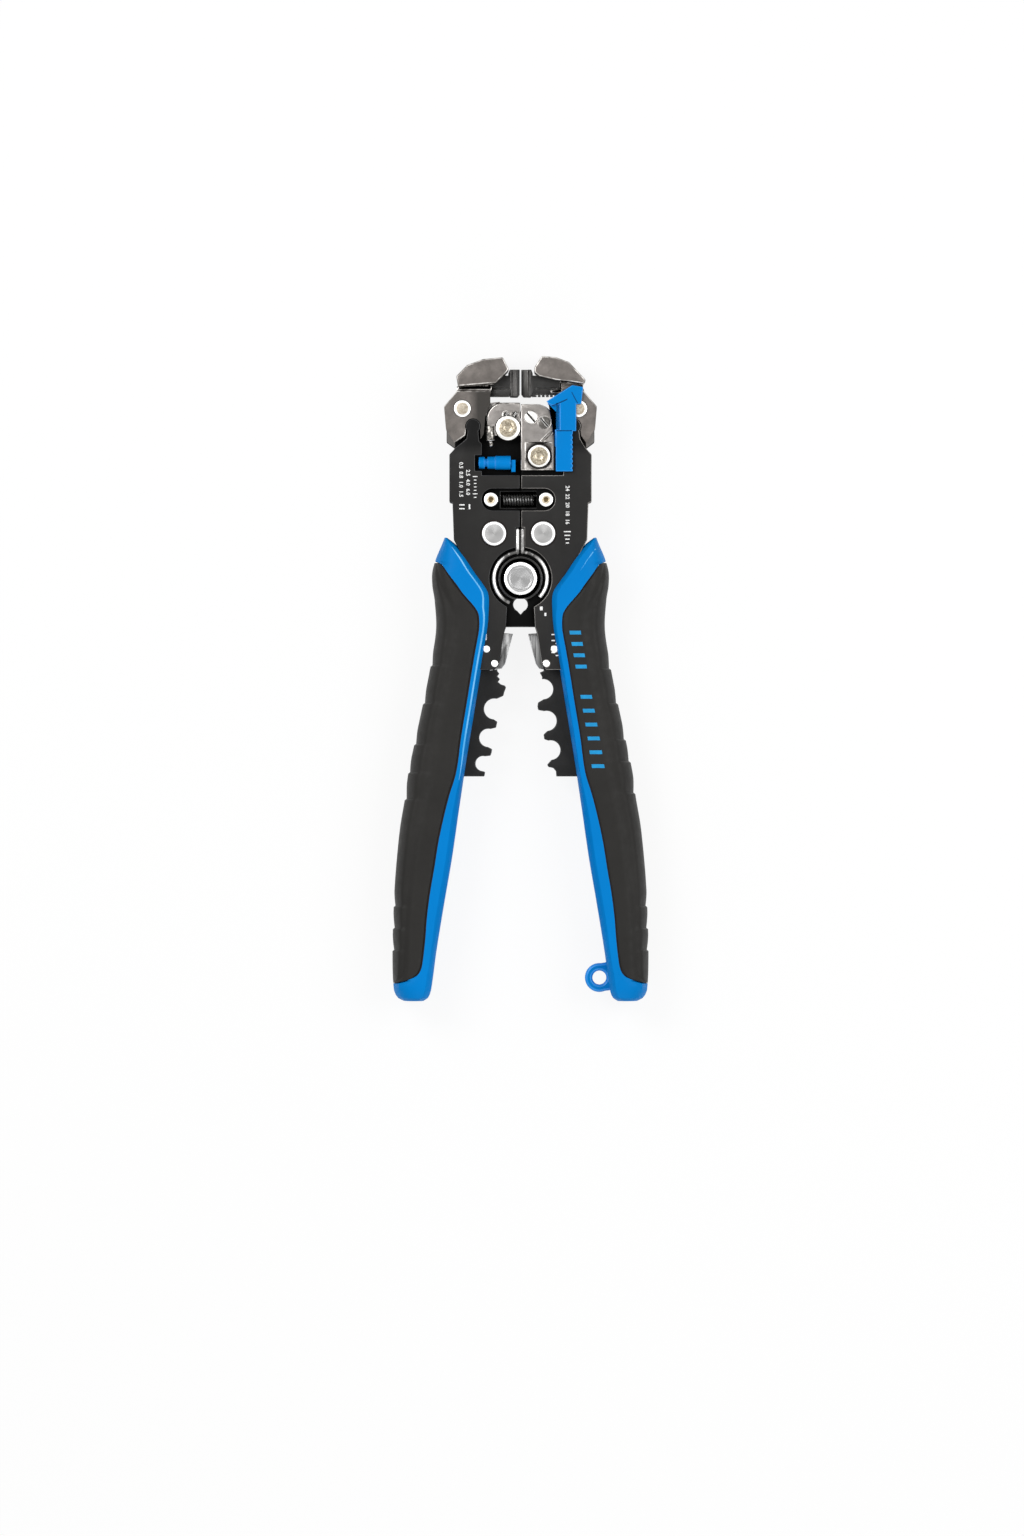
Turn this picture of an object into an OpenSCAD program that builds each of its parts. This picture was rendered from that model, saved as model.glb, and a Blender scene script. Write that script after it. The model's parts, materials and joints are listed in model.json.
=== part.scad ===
// Automatic wire stripper lying on its back, head towards +Y, thickness along Z.
// Every shape is drawn about the main pivot, then moved so that the origin is at
// the middle of the base. Flat outlines are drawn for the left half, and the same
// module mirrors them for the right half.

/* [Layers] */
// Thickness of the lever cores that carry the crimping dies
core_t = 4.2; // [3.6:0.1:4.4]
// Thickness of each carrier cheek
cheek_t = 2; // [1.6:0.1:2.1]
// Thickness of each outer lever plate
plate_t = 1.8; // [1.5:0.1:2]
// Free space between two layers that slide on each other
layer_gap = 0.4; // [0.3:0.05:0.45]
// Thickness of both handles, back to front
handle_depth = 22; // [21.5:0.5:26]

/* [Pivot and rivets] */
// Radius of the main pivot bolt
bolt_r = 4; // [3:0.1:4.6]
// Radius of the bolt's head
bolt_head_r = 5.2; // [4.9:0.1:6]
// Radius of the washers on the pivot
washer_r = 7; // [6.4:0.1:7.3]
// Radius of the round clearing in the outer plates around the pivot
clearing_r = 9.9; // [9.5:0.1:10.2]
// Radial running clearance of a shaft in its bore
running = 0.05; // [0.02:0.01:0.09]
// Radius of the large plate rivets
rivet_r = 2.5; // [2:0.1:2.8]
// Radius of a large rivet's head
rivet_head_r = 3.9; // [3.4:0.1:4.2]
// Wire radius of the handle return springs
return_wire_r = 0.6; // [0.45:0.05:0.65]

/* [Jaws] */
// Distance of each upper jaw's pin from the middle
jaw_pin_x = 18.5; // [18.2:0.1:18.8]
// Height of the jaw pins above the pivot
jaw_pin_y = 54; // [53.7:0.1:54.3]
// Radius of the jaw pins
jaw_pin_r = 2.8; // [2.2:0.1:3]
// Radius of the round knob on each lever plate's finger
knob_r = 2.3; // [2:0.1:2.4]
// Depth of the jaw hoods, back to front
hood_depth = 20.8; // [19.4:0.2:21]
// Depth of the jaw pads, back to front
pad_depth = 11; // [8:0.5:12]
// Radius of the big jaw screws' heads
screw_head_r = 4; // [3.4:0.1:4.1]
// Radius of the big jaw screws' shanks
screw_r = 2; // [1.6:0.1:2.4]

/* [Springs and adjuster] */
// Radius of the two spring posts
post_r = 2.2; // [1.8:0.1:2.4]
// Outer radius of the tension spring
coil_r = 1.9; // [1.5:0.1:2.2]
// Wire radius of the tension spring
coil_wire_r = 0.35; // [0.25:0.05:0.4]
// Turns of the tension spring
coil_turns = 11; // [8:1:12]
// Radius of the adjuster's barrel
barrel_r = 2.2; // [1.9:0.1:2.3]
// Radius of the shaft that the adjuster turns on
adjuster_shaft_r = 0.9; // [0.7:0.1:1.1]

/* [Dies and blades] */
// Radius of the largest crimping nest
nest_r = 3.3; // [3:0.1:3.5]
// Radius of the small rivets that hold the blades and plates
small_rivet_r = 1.1; // [0.8:0.1:1.2]
// Radius of the hole in the lanyard eye
lanyard_hole_r = 2.2; // [1.8:0.1:2.6]
// Thickness of the lanyard eye
lanyard_t = 4; // [3:0.5:6]

/* [Hidden] */
$fn = 64;

LEFT = 0;
RIGHT = 1;
// Overrun that lets a cutting shape pass clean through
over = 0.5;

// Heights of the layers above the middle plane
core_z = core_t / 2;
left_cheek_z = core_z + 0.75 * layer_gap;
right_cheek_z = left_cheek_z + cheek_t + layer_gap;
right_cheek_top = right_cheek_z + cheek_t;
plate_z = right_cheek_top + layer_gap;
plate_top = plate_z + plate_t;
handle_z = handle_depth / 2;
// Half of the gap between the two lapped halves of the cores
lap = 0.05;
rivet_head_t = 0.7;
washer_top = plate_top + 0.2;
small_rivet_top = plate_top + 0.1;

// Places on the left half, or [left, right] where the halves differ
rivet_x = [8.4, 7.2];
rivet_y = 14.3;
post_x = [9.4, 8.1];
post_y = 25.1;
screw_at = [[-4, 47.8], [-5.9, 38.9]];
small_rivet_at = [[-10.8, -22.4], [-8.2, -27], [-11.9, -8]];
jaw_pin_at = [-jaw_pin_x, jaw_pin_y];
knob_at = [jaw_pin_at + [3.4, -5.6], jaw_pin_at + [1.6, -5.6]];
// Channel in the right half that the length stop's rail rides in
rail_x = [-12.9, -11.1];
rail_gap = 0.2;
rail_foot = 42;
stop_travel = 6;
grip_foot = -128.5;
lanyard_at = [-25.1, grip_foot + 1.6];
head_top = 70.7;
// The handles' tables are drawn for a grip that ends at drawn_foot. Another grip_foot moves
// their feet with it, and stretches them between foot_start and handle_bend.
drawn_foot = -128.5;
foot_start = -122.5;
handle_bend = -61.4;
function stretched(y) = y + (grip_foot - drawn_foot)
    * min(1, max(0, (handle_bend - y) / (handle_bend - foot_start)));
function fitted(table) = [for (p = table) [stretched(p[0]), p[1]]];
handle_end = stretched(-134.3);

function arc(c, r, a0, a1, steps = 8) =
    [for (k = [0:steps]) let (a = a0 + (a1 - a0) * k / steps) c + r * [cos(a), sin(a)]];

// Draws left-hand shapes, or the same shapes mirrored to the right
module on_side(side) {
    mirror([side, 0, 0]) children();
}

module layer(low, high) {
    translate([0, 0, low]) linear_extrude(high - low) children();
}

// The front layer, or the same layer behind the middle plane
module layer_at(back, low, high) {
    mirror([0, 0, back]) layer(low, high) children();
}

module rod(r, low, high) {
    translate([0, 0, low]) cylinder(r = r, h = high - low);
}

module at_rivet(side) {
    translate([-rivet_x[side], rivet_y]) children();
}

module at_post(side) {
    translate([-post_x[side], post_y]) children();
}

// See-through hole below the pivot, pointing down
module sight_hole() {
    translate([0, -8.2]) circle(2.3);
    polygon([[-1.6, -9.6], [1.6, -9.6], [0, -11.4]]);
}

// Outer lever plates

window_x = [-12.3, -13.6];
window_floor = 32.8;
slot_r = 3.5;
seam_gap = 0.5;
plate_foot = -29;
leg_x = [0.95, 0.65];

function plate_edge(side) = [
    [1, 60], [-11.3, 60], [-11.3, 42], knob_at[side] + [2, -4.8], knob_at[side] + [1.5, 0],
    knob_at[side] - [1.5, 0], knob_at[side] - [2.1, 4], [-20.6, 41.6], [-22.6, 39.4], [-22.6, 24.4],
    [-21.6, 24], [-21.2, 12.4], [-18.6, 7.4], [-15.8, 1], [-14.6, -3], [-14, -9],
    [-12.7, -13], [-12.7, -16], [-13.8, -23], [-14.6, plate_foot], [-8.2, plate_foot],
    [-6.7, -26.9], [-5.3, -17.5], [-4.6, -15.3], [-4.1, -6], [1, -6]
];

module plate_outline(side) {
    slot_end = -post_x[side] - 2.9 + slot_r;
    difference() {
        union() {
            polygon(plate_edge(side));
            translate(knob_at[side]) circle(knob_r);
        }
        translate([window_x[side], window_floor]) square([40, 40]);
        if (side == LEFT) translate([-14.5, 34.2]) square([4, 5]);
        translate([-seam_gap / 2, -40]) square([20, 120]);
        circle(clearing_r);
        translate([-leg_x[side] - return_wire_r, 0]) square([4, leg_slot_top]);
        translate([slot_end, post_y]) circle(slot_r);
        translate([slot_end, post_y - slot_r]) square([30, 2 * slot_r]);
        at_rivet(side) circle(rivet_r);
        for (p = small_rivet_at) translate(p) circle(small_rivet_r);
    }
}

module plate(side, back) {
    color("#26272a") on_side(side) layer_at(back, plate_z, plate_top) plate_outline(side);
}

// Large rivet: a shank through both plates and the core, with a head on each end
module plate_rivet(side) {
    color("#c9cbce") on_side(side) at_rivet(side) {
        rod(rivet_r, -plate_top - rivet_head_t, plate_top + rivet_head_t);
        for (back = [0, 1]) mirror([0, 0, back]) rod(rivet_head_r, plate_top, plate_top + rivet_head_t);
    }
}

// Small rivets with spacing collars between the core and the plates
module small_rivets(side) {
    collar_r = small_rivet_r + 0.9;
    color("#c9cbce") on_side(side) for (k = [0:2]) translate(small_rivet_at[k]) {
        rod(small_rivet_r, -small_rivet_top, small_rivet_top);
        if (k != 1) for (back = [0, 1]) mirror([0, 0, back]) rod(collar_r, core_z, plate_z);
    }
}

// Carrier cheeks, which hold the lower jaws, the jaw pins and the spring posts

// The left cheeks reach under the right ones and close the seam between the halves
cheek_seam_x = [1.2, -0.4];
cheek_edge = [
    [-10.75, 50.2], [-10.75, 54], [-14.6, 54], [-15, 55.5], [-22, 55.5], [-23.5, 50], [-23.5, 43.4],
    [-20.8, 41.4], [-22.3, 39.3], [-22.3, 24.6], [-21.3, 24], [-20.7, 12.6], [-9.6, 1.6]
];

module cheek_outline(side, back) {
    shank_gap = 0.5;
    seam = cheek_seam_x[side];
    difference() {
        union() {
            polygon(concat([[seam, -5], [seam, 49.8], [-0.4, 50.2]], cheek_edge));
            circle(10);
            translate(jaw_pin_at) circle(jaw_pin_r + 1);
            // bridge below the pivot
            if (side == RIGHT) translate([-4.9, -15.3]) square([9.8, 15.3]);
        }
        circle(side == LEFT ? bolt_r + running : bolt_r);
        sight_hole();
        at_rivet(side) circle(rivet_r + shank_gap);
        at_post(side) circle(post_r);
        translate(jaw_pin_at) circle(jaw_pin_r);
        translate(screw_at[side]) circle(screw_r);
        if (back == 0) {
            // window that shows the tension spring
            translate([-post_x[side] + post_r + 0.8, post_y - 2.6]) square([20, 5.2]);
            // channel for the stop's rail
            if (side == RIGHT) translate([rail_x[0] - rail_gap, rail_foot - stop_travel - rail_gap])
                square([rail_x[1] - rail_x[0] + 2 * rail_gap, 40]);
        }
    }
}

module cheek(side, back) {
    low = side == LEFT ? left_cheek_z : right_cheek_z;
    color("#3a3b3e") on_side(side) layer_at(back, low, low + cheek_t)
        cheek_outline(side, back);
}

module spring_post(side) {
    post_top = plate_top - 0.4;
    color("#d8d2c2") on_side(side) at_post(side) difference() {
        rod(post_r, -post_top, post_top);
        for (back = [0, 1]) mirror([0, 0, back]) rod(post_r / 3, post_top - 0.6, post_top + over);
    }
}

module jaw_pin(side) {
    color("#d9dadc") on_side(side) translate(jaw_pin_at) rod(jaw_pin_r, -plate_top - 0.1, plate_top + 0.1);
}

// Main pivot

module pivot_bolt() {
    color("#c9cbce") difference() {
        union() {
            rod(bolt_r, -washer_top, washer_top);
            rod(bolt_head_r, washer_top, washer_top + 1.2);
            rod(bolt_head_r - 0.4, washer_top + 1.1, washer_top + 1.6);
        }
        // shallow turned dish in the face of the head
        translate([0, 0, washer_top + 1.4]) cylinder(r1 = 3.4, r2 = 4, h = over);
    }
}

module pivot_nut() {
    color("#8d9094") mirror([0, 0, 1]) rod(bolt_head_r, washer_top, washer_top + 1.5);
}

// Dished washer, thick at its rim
module pivot_washer(back) {
    bowl = [
        [bolt_r, right_cheek_top], [washer_r, right_cheek_top], [washer_r, washer_top - 0.3],
        [washer_r - 0.6, washer_top], [bolt_head_r + 1, washer_top],
        [bolt_head_r + 0.3, washer_top - 0.9], [bolt_head_r - 0.3, washer_top], [bolt_r, washer_top]
    ];
    color("#2e2f32") mirror([0, 0, back]) difference() {
        rotate_extrude() polygon(bowl);
        layer(right_cheek_top - over, washer_top + over) sight_hole();
    }
}

// Return spring: a leg in the seam and an arc round the pivot
return_spring_end = [246, 224];
leg_high = 15.4;
leg_slot_top = leg_high + 0.8;

module return_spring(side) {
    ring_r = (washer_r + clearing_r) / 2;
    start = 90 + asin(leg_x[side] / ring_r);
    end = return_spring_end[side];
    leg_low = ring_r * sin(start) - return_wire_r / 4;
    spring_z = (plate_z + plate_top) / 2;
    color("#e0e1e3") on_side(side) translate([0, 0, spring_z]) {
        rotate([0, 0, start]) rotate_extrude(angle = end - start)
            translate([ring_r, 0]) circle(return_wire_r, $fn = 24);
        translate([-leg_x[side], leg_low, 0]) sphere(return_wire_r, $fn = 24);
        translate([-leg_x[side], leg_low, 0]) rotate([-90, 0, 0])
            cylinder(r = return_wire_r, h = leg_high - leg_low, $fn = 24);
        translate([-leg_x[side], leg_high, 0]) sphere(return_wire_r, $fn = 24);
    }
}

// Tension spring between the two posts: one wire, hooked round each post and coiled between
coil_path_r = coil_r - coil_wire_r;
hook_r = post_r + coil_wire_r + 0.1;
coil_from = -post_x[LEFT] + hook_r + 1.3;
coil_to = post_x[RIGHT] - hook_r - 1.3;
coil_steps = 14;
hook_steps = 20;
// Angles between which the wire runs round the left and the right post
hook_turn = [[-20, -330], [150, -160]];
// The wire leaves the coil half way to the middle of its thickness
coil_exit = 0.5;

function hook_path(x, a0, a1) = [for (k = [0:hook_steps]) let (a = a0 + (a1 - a0) * k / hook_steps)
    [x + hook_r * cos(a), post_y + hook_r * sin(a), 0]];
function coil_path() = [for (k = [0:coil_turns * coil_steps]) let (turn = 360 * k / coil_steps)
    [coil_from + (coil_to - coil_from) * k / (coil_turns * coil_steps),
        post_y + coil_path_r * cos(turn), coil_path_r * sin(turn)]];
function unit(v) = v / norm(v);
function across(v, along) = unit(v - (v * along) * along);

module tension_spring() {
    wire_sides = 7;
    exit_y = post_y + 0.9 * coil_path_r;
    path = concat(
        hook_path(-post_x[LEFT], hook_turn[LEFT][0], hook_turn[LEFT][1]),
        [[coil_from - 0.4, exit_y, -coil_exit]],
        coil_path(),
        [[coil_to + 0.4, exit_y, coil_exit]],
        hook_path(post_x[RIGHT], hook_turn[RIGHT][0], hook_turn[RIGHT][1])
    );
    last = len(path) - 1;
    along = [for (k = [0:last]) unit(path[min(k + 1, last)] - path[max(k - 1, 0)])];
    // directions across the wire, carried along it without twisting
    side = [for (k = 0, v = across([0, 0, 1], along[0]); k <= last; k = k + 1,
        v = across(v, along[min(k, last)])) v];
    points = [for (k = [0:last]) for (j = [0:wire_sides - 1]) let (a = 360 * j / wire_sides)
        path[k] + coil_wire_r * (cos(a) * side[k] + sin(a) * cross(along[k], side[k]))];
    color("#4a4b4e") polyhedron(points, tube_faces(last + 1, wire_sides), convexity = 10);
}

// Faces of a closed skin over rings of points, with flat ends
function tube_faces(rings, sides) = concat(
    [[for (j = [0:sides - 1]) j]],
    [for (k = [0:rings - 2]) for (j = [0:sides - 1]) let (n = (j + 1) % sides)
        [k * sides + j, (k + 1) * sides + j, (k + 1) * sides + n, k * sides + n]],
    [[for (j = [sides - 1:-1:0]) (rings - 1) * sides + j]]
);

// Lower jaws straddle their cheeks and are clamped by one big screw each

jaw_web_y = 50.2;
jaw_edge_x = -10.7;
jaw_inner_x = -0.12;
jaw_top = [55.9, 55.4];
jaw_foot = [45.4, 34.4];
// Tongue on the left jaw that closes the seam, in a slot of the right jaw
tongue_t = 1.6;
tongue_reach = 0.9;
jaw_face = [8.4, 8.9];
pad_seat_y = 53.6;
pad_x = -4.4;
set_screw_depth = 1.6;
// Depth of the square recess round the right screw
recess = 0.5;

module jaw_outline(side, corner_r) {
    corner = [jaw_edge_x + corner_r, jaw_top[side] - corner_r];
    polygon(concat(
        [[jaw_inner_x, jaw_foot[side]], [jaw_inner_x, jaw_top[side]]],
        arc(corner, corner_r, 90, 180),
        [[jaw_edge_x, jaw_foot[side]]]
    ));
}

module lower_jaw(side) {
    cheek_top = side == LEFT ? left_cheek_z + cheek_t : right_cheek_top;
    color(side == LEFT ? "#8b8784" : "#8f8b88") on_side(side) difference() {
        union() {
            layer(-jaw_face[side], jaw_face[side]) jaw_outline(side, side == LEFT ? 5.2 : 5.6);
            if (side == LEFT) {
                layer(0.3 - plate_z, plate_z - 0.3) jaw_outline(side, 2);
                layer(-tongue_t / 2, tongue_t / 2) translate([-3, jaw_web_y + 1])
                    square([3 + tongue_reach, 2]);
            }
        }
        translate([jaw_edge_x - over, jaw_foot[side] - over, -cheek_top])
            cube([11.5, jaw_web_y - jaw_foot[side] + over, 2 * cheek_top]);
        translate([pad_x, pad_seat_y, -pad_depth / 2]) cube([5, 5, pad_depth]);
        translate(screw_at[side]) rod(screw_r, -12, 12);
        for (p = set_screw_at[side]) translate([p[0], p[1]])
            rod(p[2], jaw_face[side] - set_screw_depth, 12);
        if (side == LEFT) gauge_pin_body();
        if (side == RIGHT) right_jaw_cuts();
    }
}

// Stepped gauge pin, seated in a groove in the left jaw's edge and ending in a ball
gauge_at = [-9.8, 48.4, 7.6];
gauge_lean = 4;
gauge_r = 1.45;
gauge_stem_r = 0.6;
gauge_ball_r = 0.8;
gauge_body = 4.6;
gauge_length = 5.8;

module gauge_pin_body() {
    translate(gauge_at) rotate([0, 0, gauge_lean]) rotate([90, 0, 0]) {
        cylinder(r = gauge_r, h = gauge_body);
        cylinder(r = gauge_stem_r, h = gauge_length);
        translate([0, 0, gauge_length]) sphere(gauge_ball_r, $fn = 24);
    }
}

module gauge_pin() {
    color("#d5d6d8") gauge_pin_body();
}

// Square recess around the right screw, and the slanted relief above it
module right_jaw_cuts() {
    translate([-10, 34.9, jaw_face[RIGHT] - recess]) cube([8.4, 8.2, 2]);
    translate([-10.9, 47.1, jaw_face[RIGHT] - 1]) rotate([0, 0, -45]) cube([5.4, 0.8, 2]);
    translate([-tongue_reach - 0.5, jaw_web_y + 0.8, -tongue_t / 2 - 0.2])
        cube([tongue_reach + 1, 2.4, tongue_t + 0.4]);
}

set_screw_at = [
    [[-4.6, 52.1, 0.9], [-1.9, 52, 1]],
    [[-3.3, 51.2, 2], [-7.6, 49.6, 1.9]]
];

module set_screws(side) {
    color("#d5d6d8") on_side(side) for (p = set_screw_at[side]) translate([p[0], p[1]]) difference() {
        rod(p[2], jaw_face[side] - set_screw_depth, jaw_face[side] + (p[2] > 1.9 ? 0.3 : -0.3));
        rotate([0, 0, 50]) translate([-3, -p[2] / 6, jaw_face[side] - 0.7]) cube([6, p[2] / 3, 2]);
    }
}

// Big screw with a washer, a recessed socket and a nut behind
module jaw_screw(side) {
    socket_r = 1.6;
    seat = side == LEFT ? jaw_face[LEFT] : jaw_face[RIGHT] - recess;
    color("#dcd8cc") on_side(side) translate(screw_at[side]) difference() {
        union() {
            rod(screw_r, -seat - 1.4, seat + 1);
            rod(screw_head_r - 0.15, seat, seat + 0.5);
            rod(screw_head_r - 0.5, seat + 0.4, seat + 1.5);
            translate([0, 0, -jaw_face[side] - 1.5])
                cylinder(r = screw_head_r - 0.3, h = 1.5, $fn = 6);
        }
        translate([0, 0, seat + 0.7]) cylinder(r = socket_r, h = 2, $fn = 6);
    }
}

// Insert on top of a lower jaw: a ribbed pad on the left, a blade on the right
module lower_insert(side) {
    color(side == LEFT ? "#4b4a4a" : "#a9aaad") on_side(side)
        layer(-pad_depth / 2, pad_depth / 2)
            polygon([[pad_x, pad_seat_y], [jaw_inner_x, pad_seat_y], [jaw_inner_x, jaw_top[side]],
                [pad_x, jaw_top[side]]]);
}

// Upper jaws: two arms on the jaw pin, joined by a web and a deep hood

hood_left = [
    [-20.4, 64.3], [-17, 67.8], [-11.9, 69.7], [-5.6, 70.3], [-3.7, 66.5],
    [-4.3, 65.6], [-7.8, 62.1], [-19.9, 61.1]
];
hood_right = [
    [-20.8, 63], [-15.4, 68.8], [-11.3, 70.3], [-6.8, 70.7], [-4.5, 67.2], [-4.3, 65.6],
    [-5.9, 64.3], [-11.3, 63], [-14.5, 62.7], [-19.9, 61.9]
];

module arm_outline(side) {
    inner_x = [-9.6, rail_x[0] - rail_gap - 0.2];
    waist_x = [-11.2, inner_x[1]];
    claw_x = [-11.7, inner_x[1]];
    socket_gap = 0.2;
    difference() {
        polygon([
            [-20, 59.8], [-24.3, 54.7], [-23.7, 47.6], [-21, 43], knob_at[side] - [2.4, 3],
            knob_at[side] + [2.5, -4], [claw_x[side], 46], [waist_x[side], 51.5],
            [inner_x[side], 55.8], [inner_x[side], 59.8]
        ]);
        translate(jaw_pin_at) circle(jaw_pin_r + running);
        translate(knob_at[side]) circle(knob_r + socket_gap);
        // mouth of the socket, wide enough for the finger to swing
        translate(knob_at[side]) polygon([[-2, 0], [2.2, 0], [2.6, -6], [-2.8, -6]]);
    }
}

module upper_jaw(side) {
    color("#8b8784") on_side(side) difference() {
        union() {
            for (back = [0, 1]) layer_at(back, plate_z, plate_top) arm_outline(side);
            layer(-plate_z - over, plate_z + over) polygon([[-20.2, 58.8], [-9.7, 58.8],
                [-8.2, 62.6], [-19.6, 62.6]]);
            layer(-hood_depth / 2, hood_depth / 2) polygon(side == LEFT ? hood_left : hood_right);
        }
        layer(-pad_depth / 2, pad_depth / 2) pad_block(side);
        // deep groove between the arms and the hood
        for (back = [0, 1]) layer_at(back, groove_floor, hood_depth / 2 + over)
            polygon(concat(groove_edge[side], [[-21.5, 59.9], [-9, 59.9]]));
    }
}

// Height of the web that is left between the grooves of both faces
groove_floor = 4.6;
groove_edge = [
    [[-7.8, 62.05], [-19.9, 61.05], [-21.5, 61.05]],
    [[-6, 64.2], [-11.3, 62.95], [-14.5, 62.65], [-19.9, 61.85], [-21.5, 61.85]]
];

module pad_block(side) {
    block_x = [-9.8, -12.6];
    polygon([[-3.6, 58], [-3.6, 64.6], [block_x[side], 64.6], [block_x[side], 58]]);
}

// Pad under each hood. Its bar ends in teeth that pass between those of the other bar
bar_edge = [
    [-2.35, 57.8], [-2.35, 66.5], [-3.4, 66.5], [-3.9, 65.3], [-3.9, 58.6], [-3.2, 57.8]
];
bar_tooth = [[-2.4, 57.8], [-0.95, 57.8], [-0.25, 58.7], [-0.25, 66.5], [-2.4, 66.5]];
bar_bands = 5;
band_gap = 0.1;
rib_x = [-1.7, -3.1];
rib_groove = 0.5;
block_groove_x = [-9.8, -11.5];
serration_pitch = 1.3;
serration = 0.6;

module upper_pad(side) {
    band_t = pad_depth / bar_bands;
    color(side == LEFT ? "#55524f" : "#5b5856") on_side(side) difference() {
        union() {
            layer(-pad_depth / 2, pad_depth / 2) {
                pad_block(side);
                polygon(bar_edge);
            }
            for (k = [side:2:bar_bands - 1]) let (low = k * band_t - pad_depth / 2)
                layer(low + band_gap, low + band_t - band_gap) polygon(bar_tooth);
        }
        for (back = [0, 1]) mirror([0, 0, back]) {
            // ribs along the bar, and a groove under the block
            for (x = rib_x) translate([x, 57, pad_depth / 2 - rib_groove])
                cube([rib_groove, 10, 1]);
            translate([block_groove_x[side], 60.2, pad_depth / 2 - 0.6]) cube([6.4, 0.6, 1]);
        }
        if (side == RIGHT) for (k = [0:4]) translate([-5.3 - serration_pitch * k, 57.9, -10])
            rotate([0, 0, 45]) cube([serration, serration, 20]);
    }
}

// Blue length stop: a rail in the front cheek's channel, with a wedge-shaped head
stop_head = [[-8.2, 56.2], [-16.4, 61.4], [-19.9, 60.8], [-19.3, 55.4], [-12.2, 55.4], [-9.8, 55]];
stop_chin = [[-8.5, 55.6], [-10.9, 52.6], [-12, 52.6], [-12, 55.6]];
// Left, foot, width and height of the stop's upper and lower bar
stop_bars = [[-17.7, 46.8, 5.2, 9], [-16.6, 34, 5.4, 13]];
stop_t = 1.6;
// Upper end of the rail, inside the head
stop_rail_top = 56.9;
stop_pitch = 1.5;
stop_notch = 0.5;

module length_stop() {
    front = plate_top + 0.3;
    back = left_cheek_z + 0.2;
    color("#1b86d6") on_side(RIGHT) {
        layer(back, front + stop_t / 2) translate([rail_x[0], rail_foot])
            square([rail_x[1] - rail_x[0], stop_rail_top - rail_foot]);
        // keeper behind the cheek
        layer(back, right_cheek_z - 0.3) translate([rail_x[0] - 1.7, rail_foot + 2]) square([5.2, 6]);
        layer(front, front + stop_t / 2) polygon(stop_chin);
        layer(front, front + stop_t) {
            polygon(stop_head);
            for (bar = stop_bars) difference() {
                translate([bar[0], bar[1]]) square([bar[2], bar[3]]);
                // serrated finger edge
                if (bar[1] < 40) for (k = [0:7]) translate([bar[0], bar[1] + 1 + stop_pitch * k])
                    rotate(45) square(stop_notch, center = true);
            }
        }
    }
}

// Adjuster: a blue barrel that turns on a fixed shaft over the left cheek
adjuster_y = 36.8;
adjuster_x = [-13.4, -1.6];
adjuster_z = left_cheek_z + cheek_t + barrel_r + 0.4;

module adjuster_screw() {
    foot_z = left_cheek_z + cheek_t;
    color("#1b86d6") {
        translate([adjuster_x[0], adjuster_y, adjuster_z]) rotate([0, 90, 0])
            cylinder(r = adjuster_shaft_r, h = adjuster_x[1] - adjuster_x[0]);
        translate([adjuster_x[1] - 1.3, adjuster_y - 2.9, foot_z])
            cube([1.3, 3.8, adjuster_z + adjuster_shaft_r - foot_z]);
    }
}

module adjuster_knob() {
    color("#1b86d6") translate([0, adjuster_y, adjuster_z]) rotate([0, 90, 0]) difference() {
        union() {
            translate([0, 0, -13.2]) cylinder(r = barrel_r - 0.3, h = 1.8);
            translate([0, 0, -11.6]) cylinder(r = barrel_r - 0.9, h = 1.5);
            translate([0, 0, -10.5]) cylinder(r = barrel_r - 0.25, h = 7.4);
            translate([0, 0, -8]) cylinder(r = barrel_r, h = 4.9);
        }
        translate([0, 0, -15]) cylinder(r = adjuster_shaft_r + running, h = 15);
    }
}

// Lever cores: crimping dies, blade seats and the tang inside the handle

core_body = [
    [
        [-3, -6], [-5.7, -15.6], [-7.4, -29.3], [-6.7, -30.2], [-7.4, -31],
        [-6.5, -31.9], [-7.2, -32.8], [-6.2, -33.6], [-4.9, -34], [-4.6, -34.6], [-5.2, -36.2],
        [-7.6, -46.5], [-9.2, -55.3], [-11.3, -61.8], [-11.5, -62.9]
    ],
    [
        [-3, -6], [-5.7, -15.6], [-7.4, -29.3], [-6.1, -29.8], [-6.9, -31.2], [-5.4, -40.6],
        [-7.5, -50.4], [-8.6, -59.5], [-8.9, -59.9], [-10.4, -60.2], [-11.3, -61.2], [-11.4, -62.9]
    ]
];
core_tang = [
    [-18.9, -62.9], [-22.5, -75], [-27, -92], [-31, -110], [-34.3, -110], [-32, -95],
    [-28, -75], [-23, -50], [-19.5, -30], [-17.5, -16], [-15.5, -5], [-6, 3]
];
// Crimping nests: middle, how much smaller than the largest, upper and lower lip of the mouth
nests = [
    [
        [[-8.3, -41.4], 0, [-5.4, -37.2], [-7.3, -45.5]],
        [[-10.2, -50.6], 0.4, [-8, -47.4], [-9, -54.2]],
        [[-11.9, -58.8], 0.9, [-9.6, -56.3], [-11.2, -61.5]]
    ],
    [
        [[-7.2, -35.1], 0.1, [-6.7, -31.5], [-5.7, -39.3]],
        [[-8.3, -45.2], 0.1, [-5.9, -41.8], [-7.3, -49.6]],
        [[-9.6, -54.5], 0.2, [-7.7, -51.1], [-8.6, -59]]
    ]
];
nest_mouth = [78, -96];
core_disc_r = 9.5;
core_disc_gap = 0.6;

function reversed(points) = [for (k = [len(points) - 1:-1:0]) points[k]];
function core_edge(side) = reversed(concat(core_body[side], core_tang));

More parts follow.
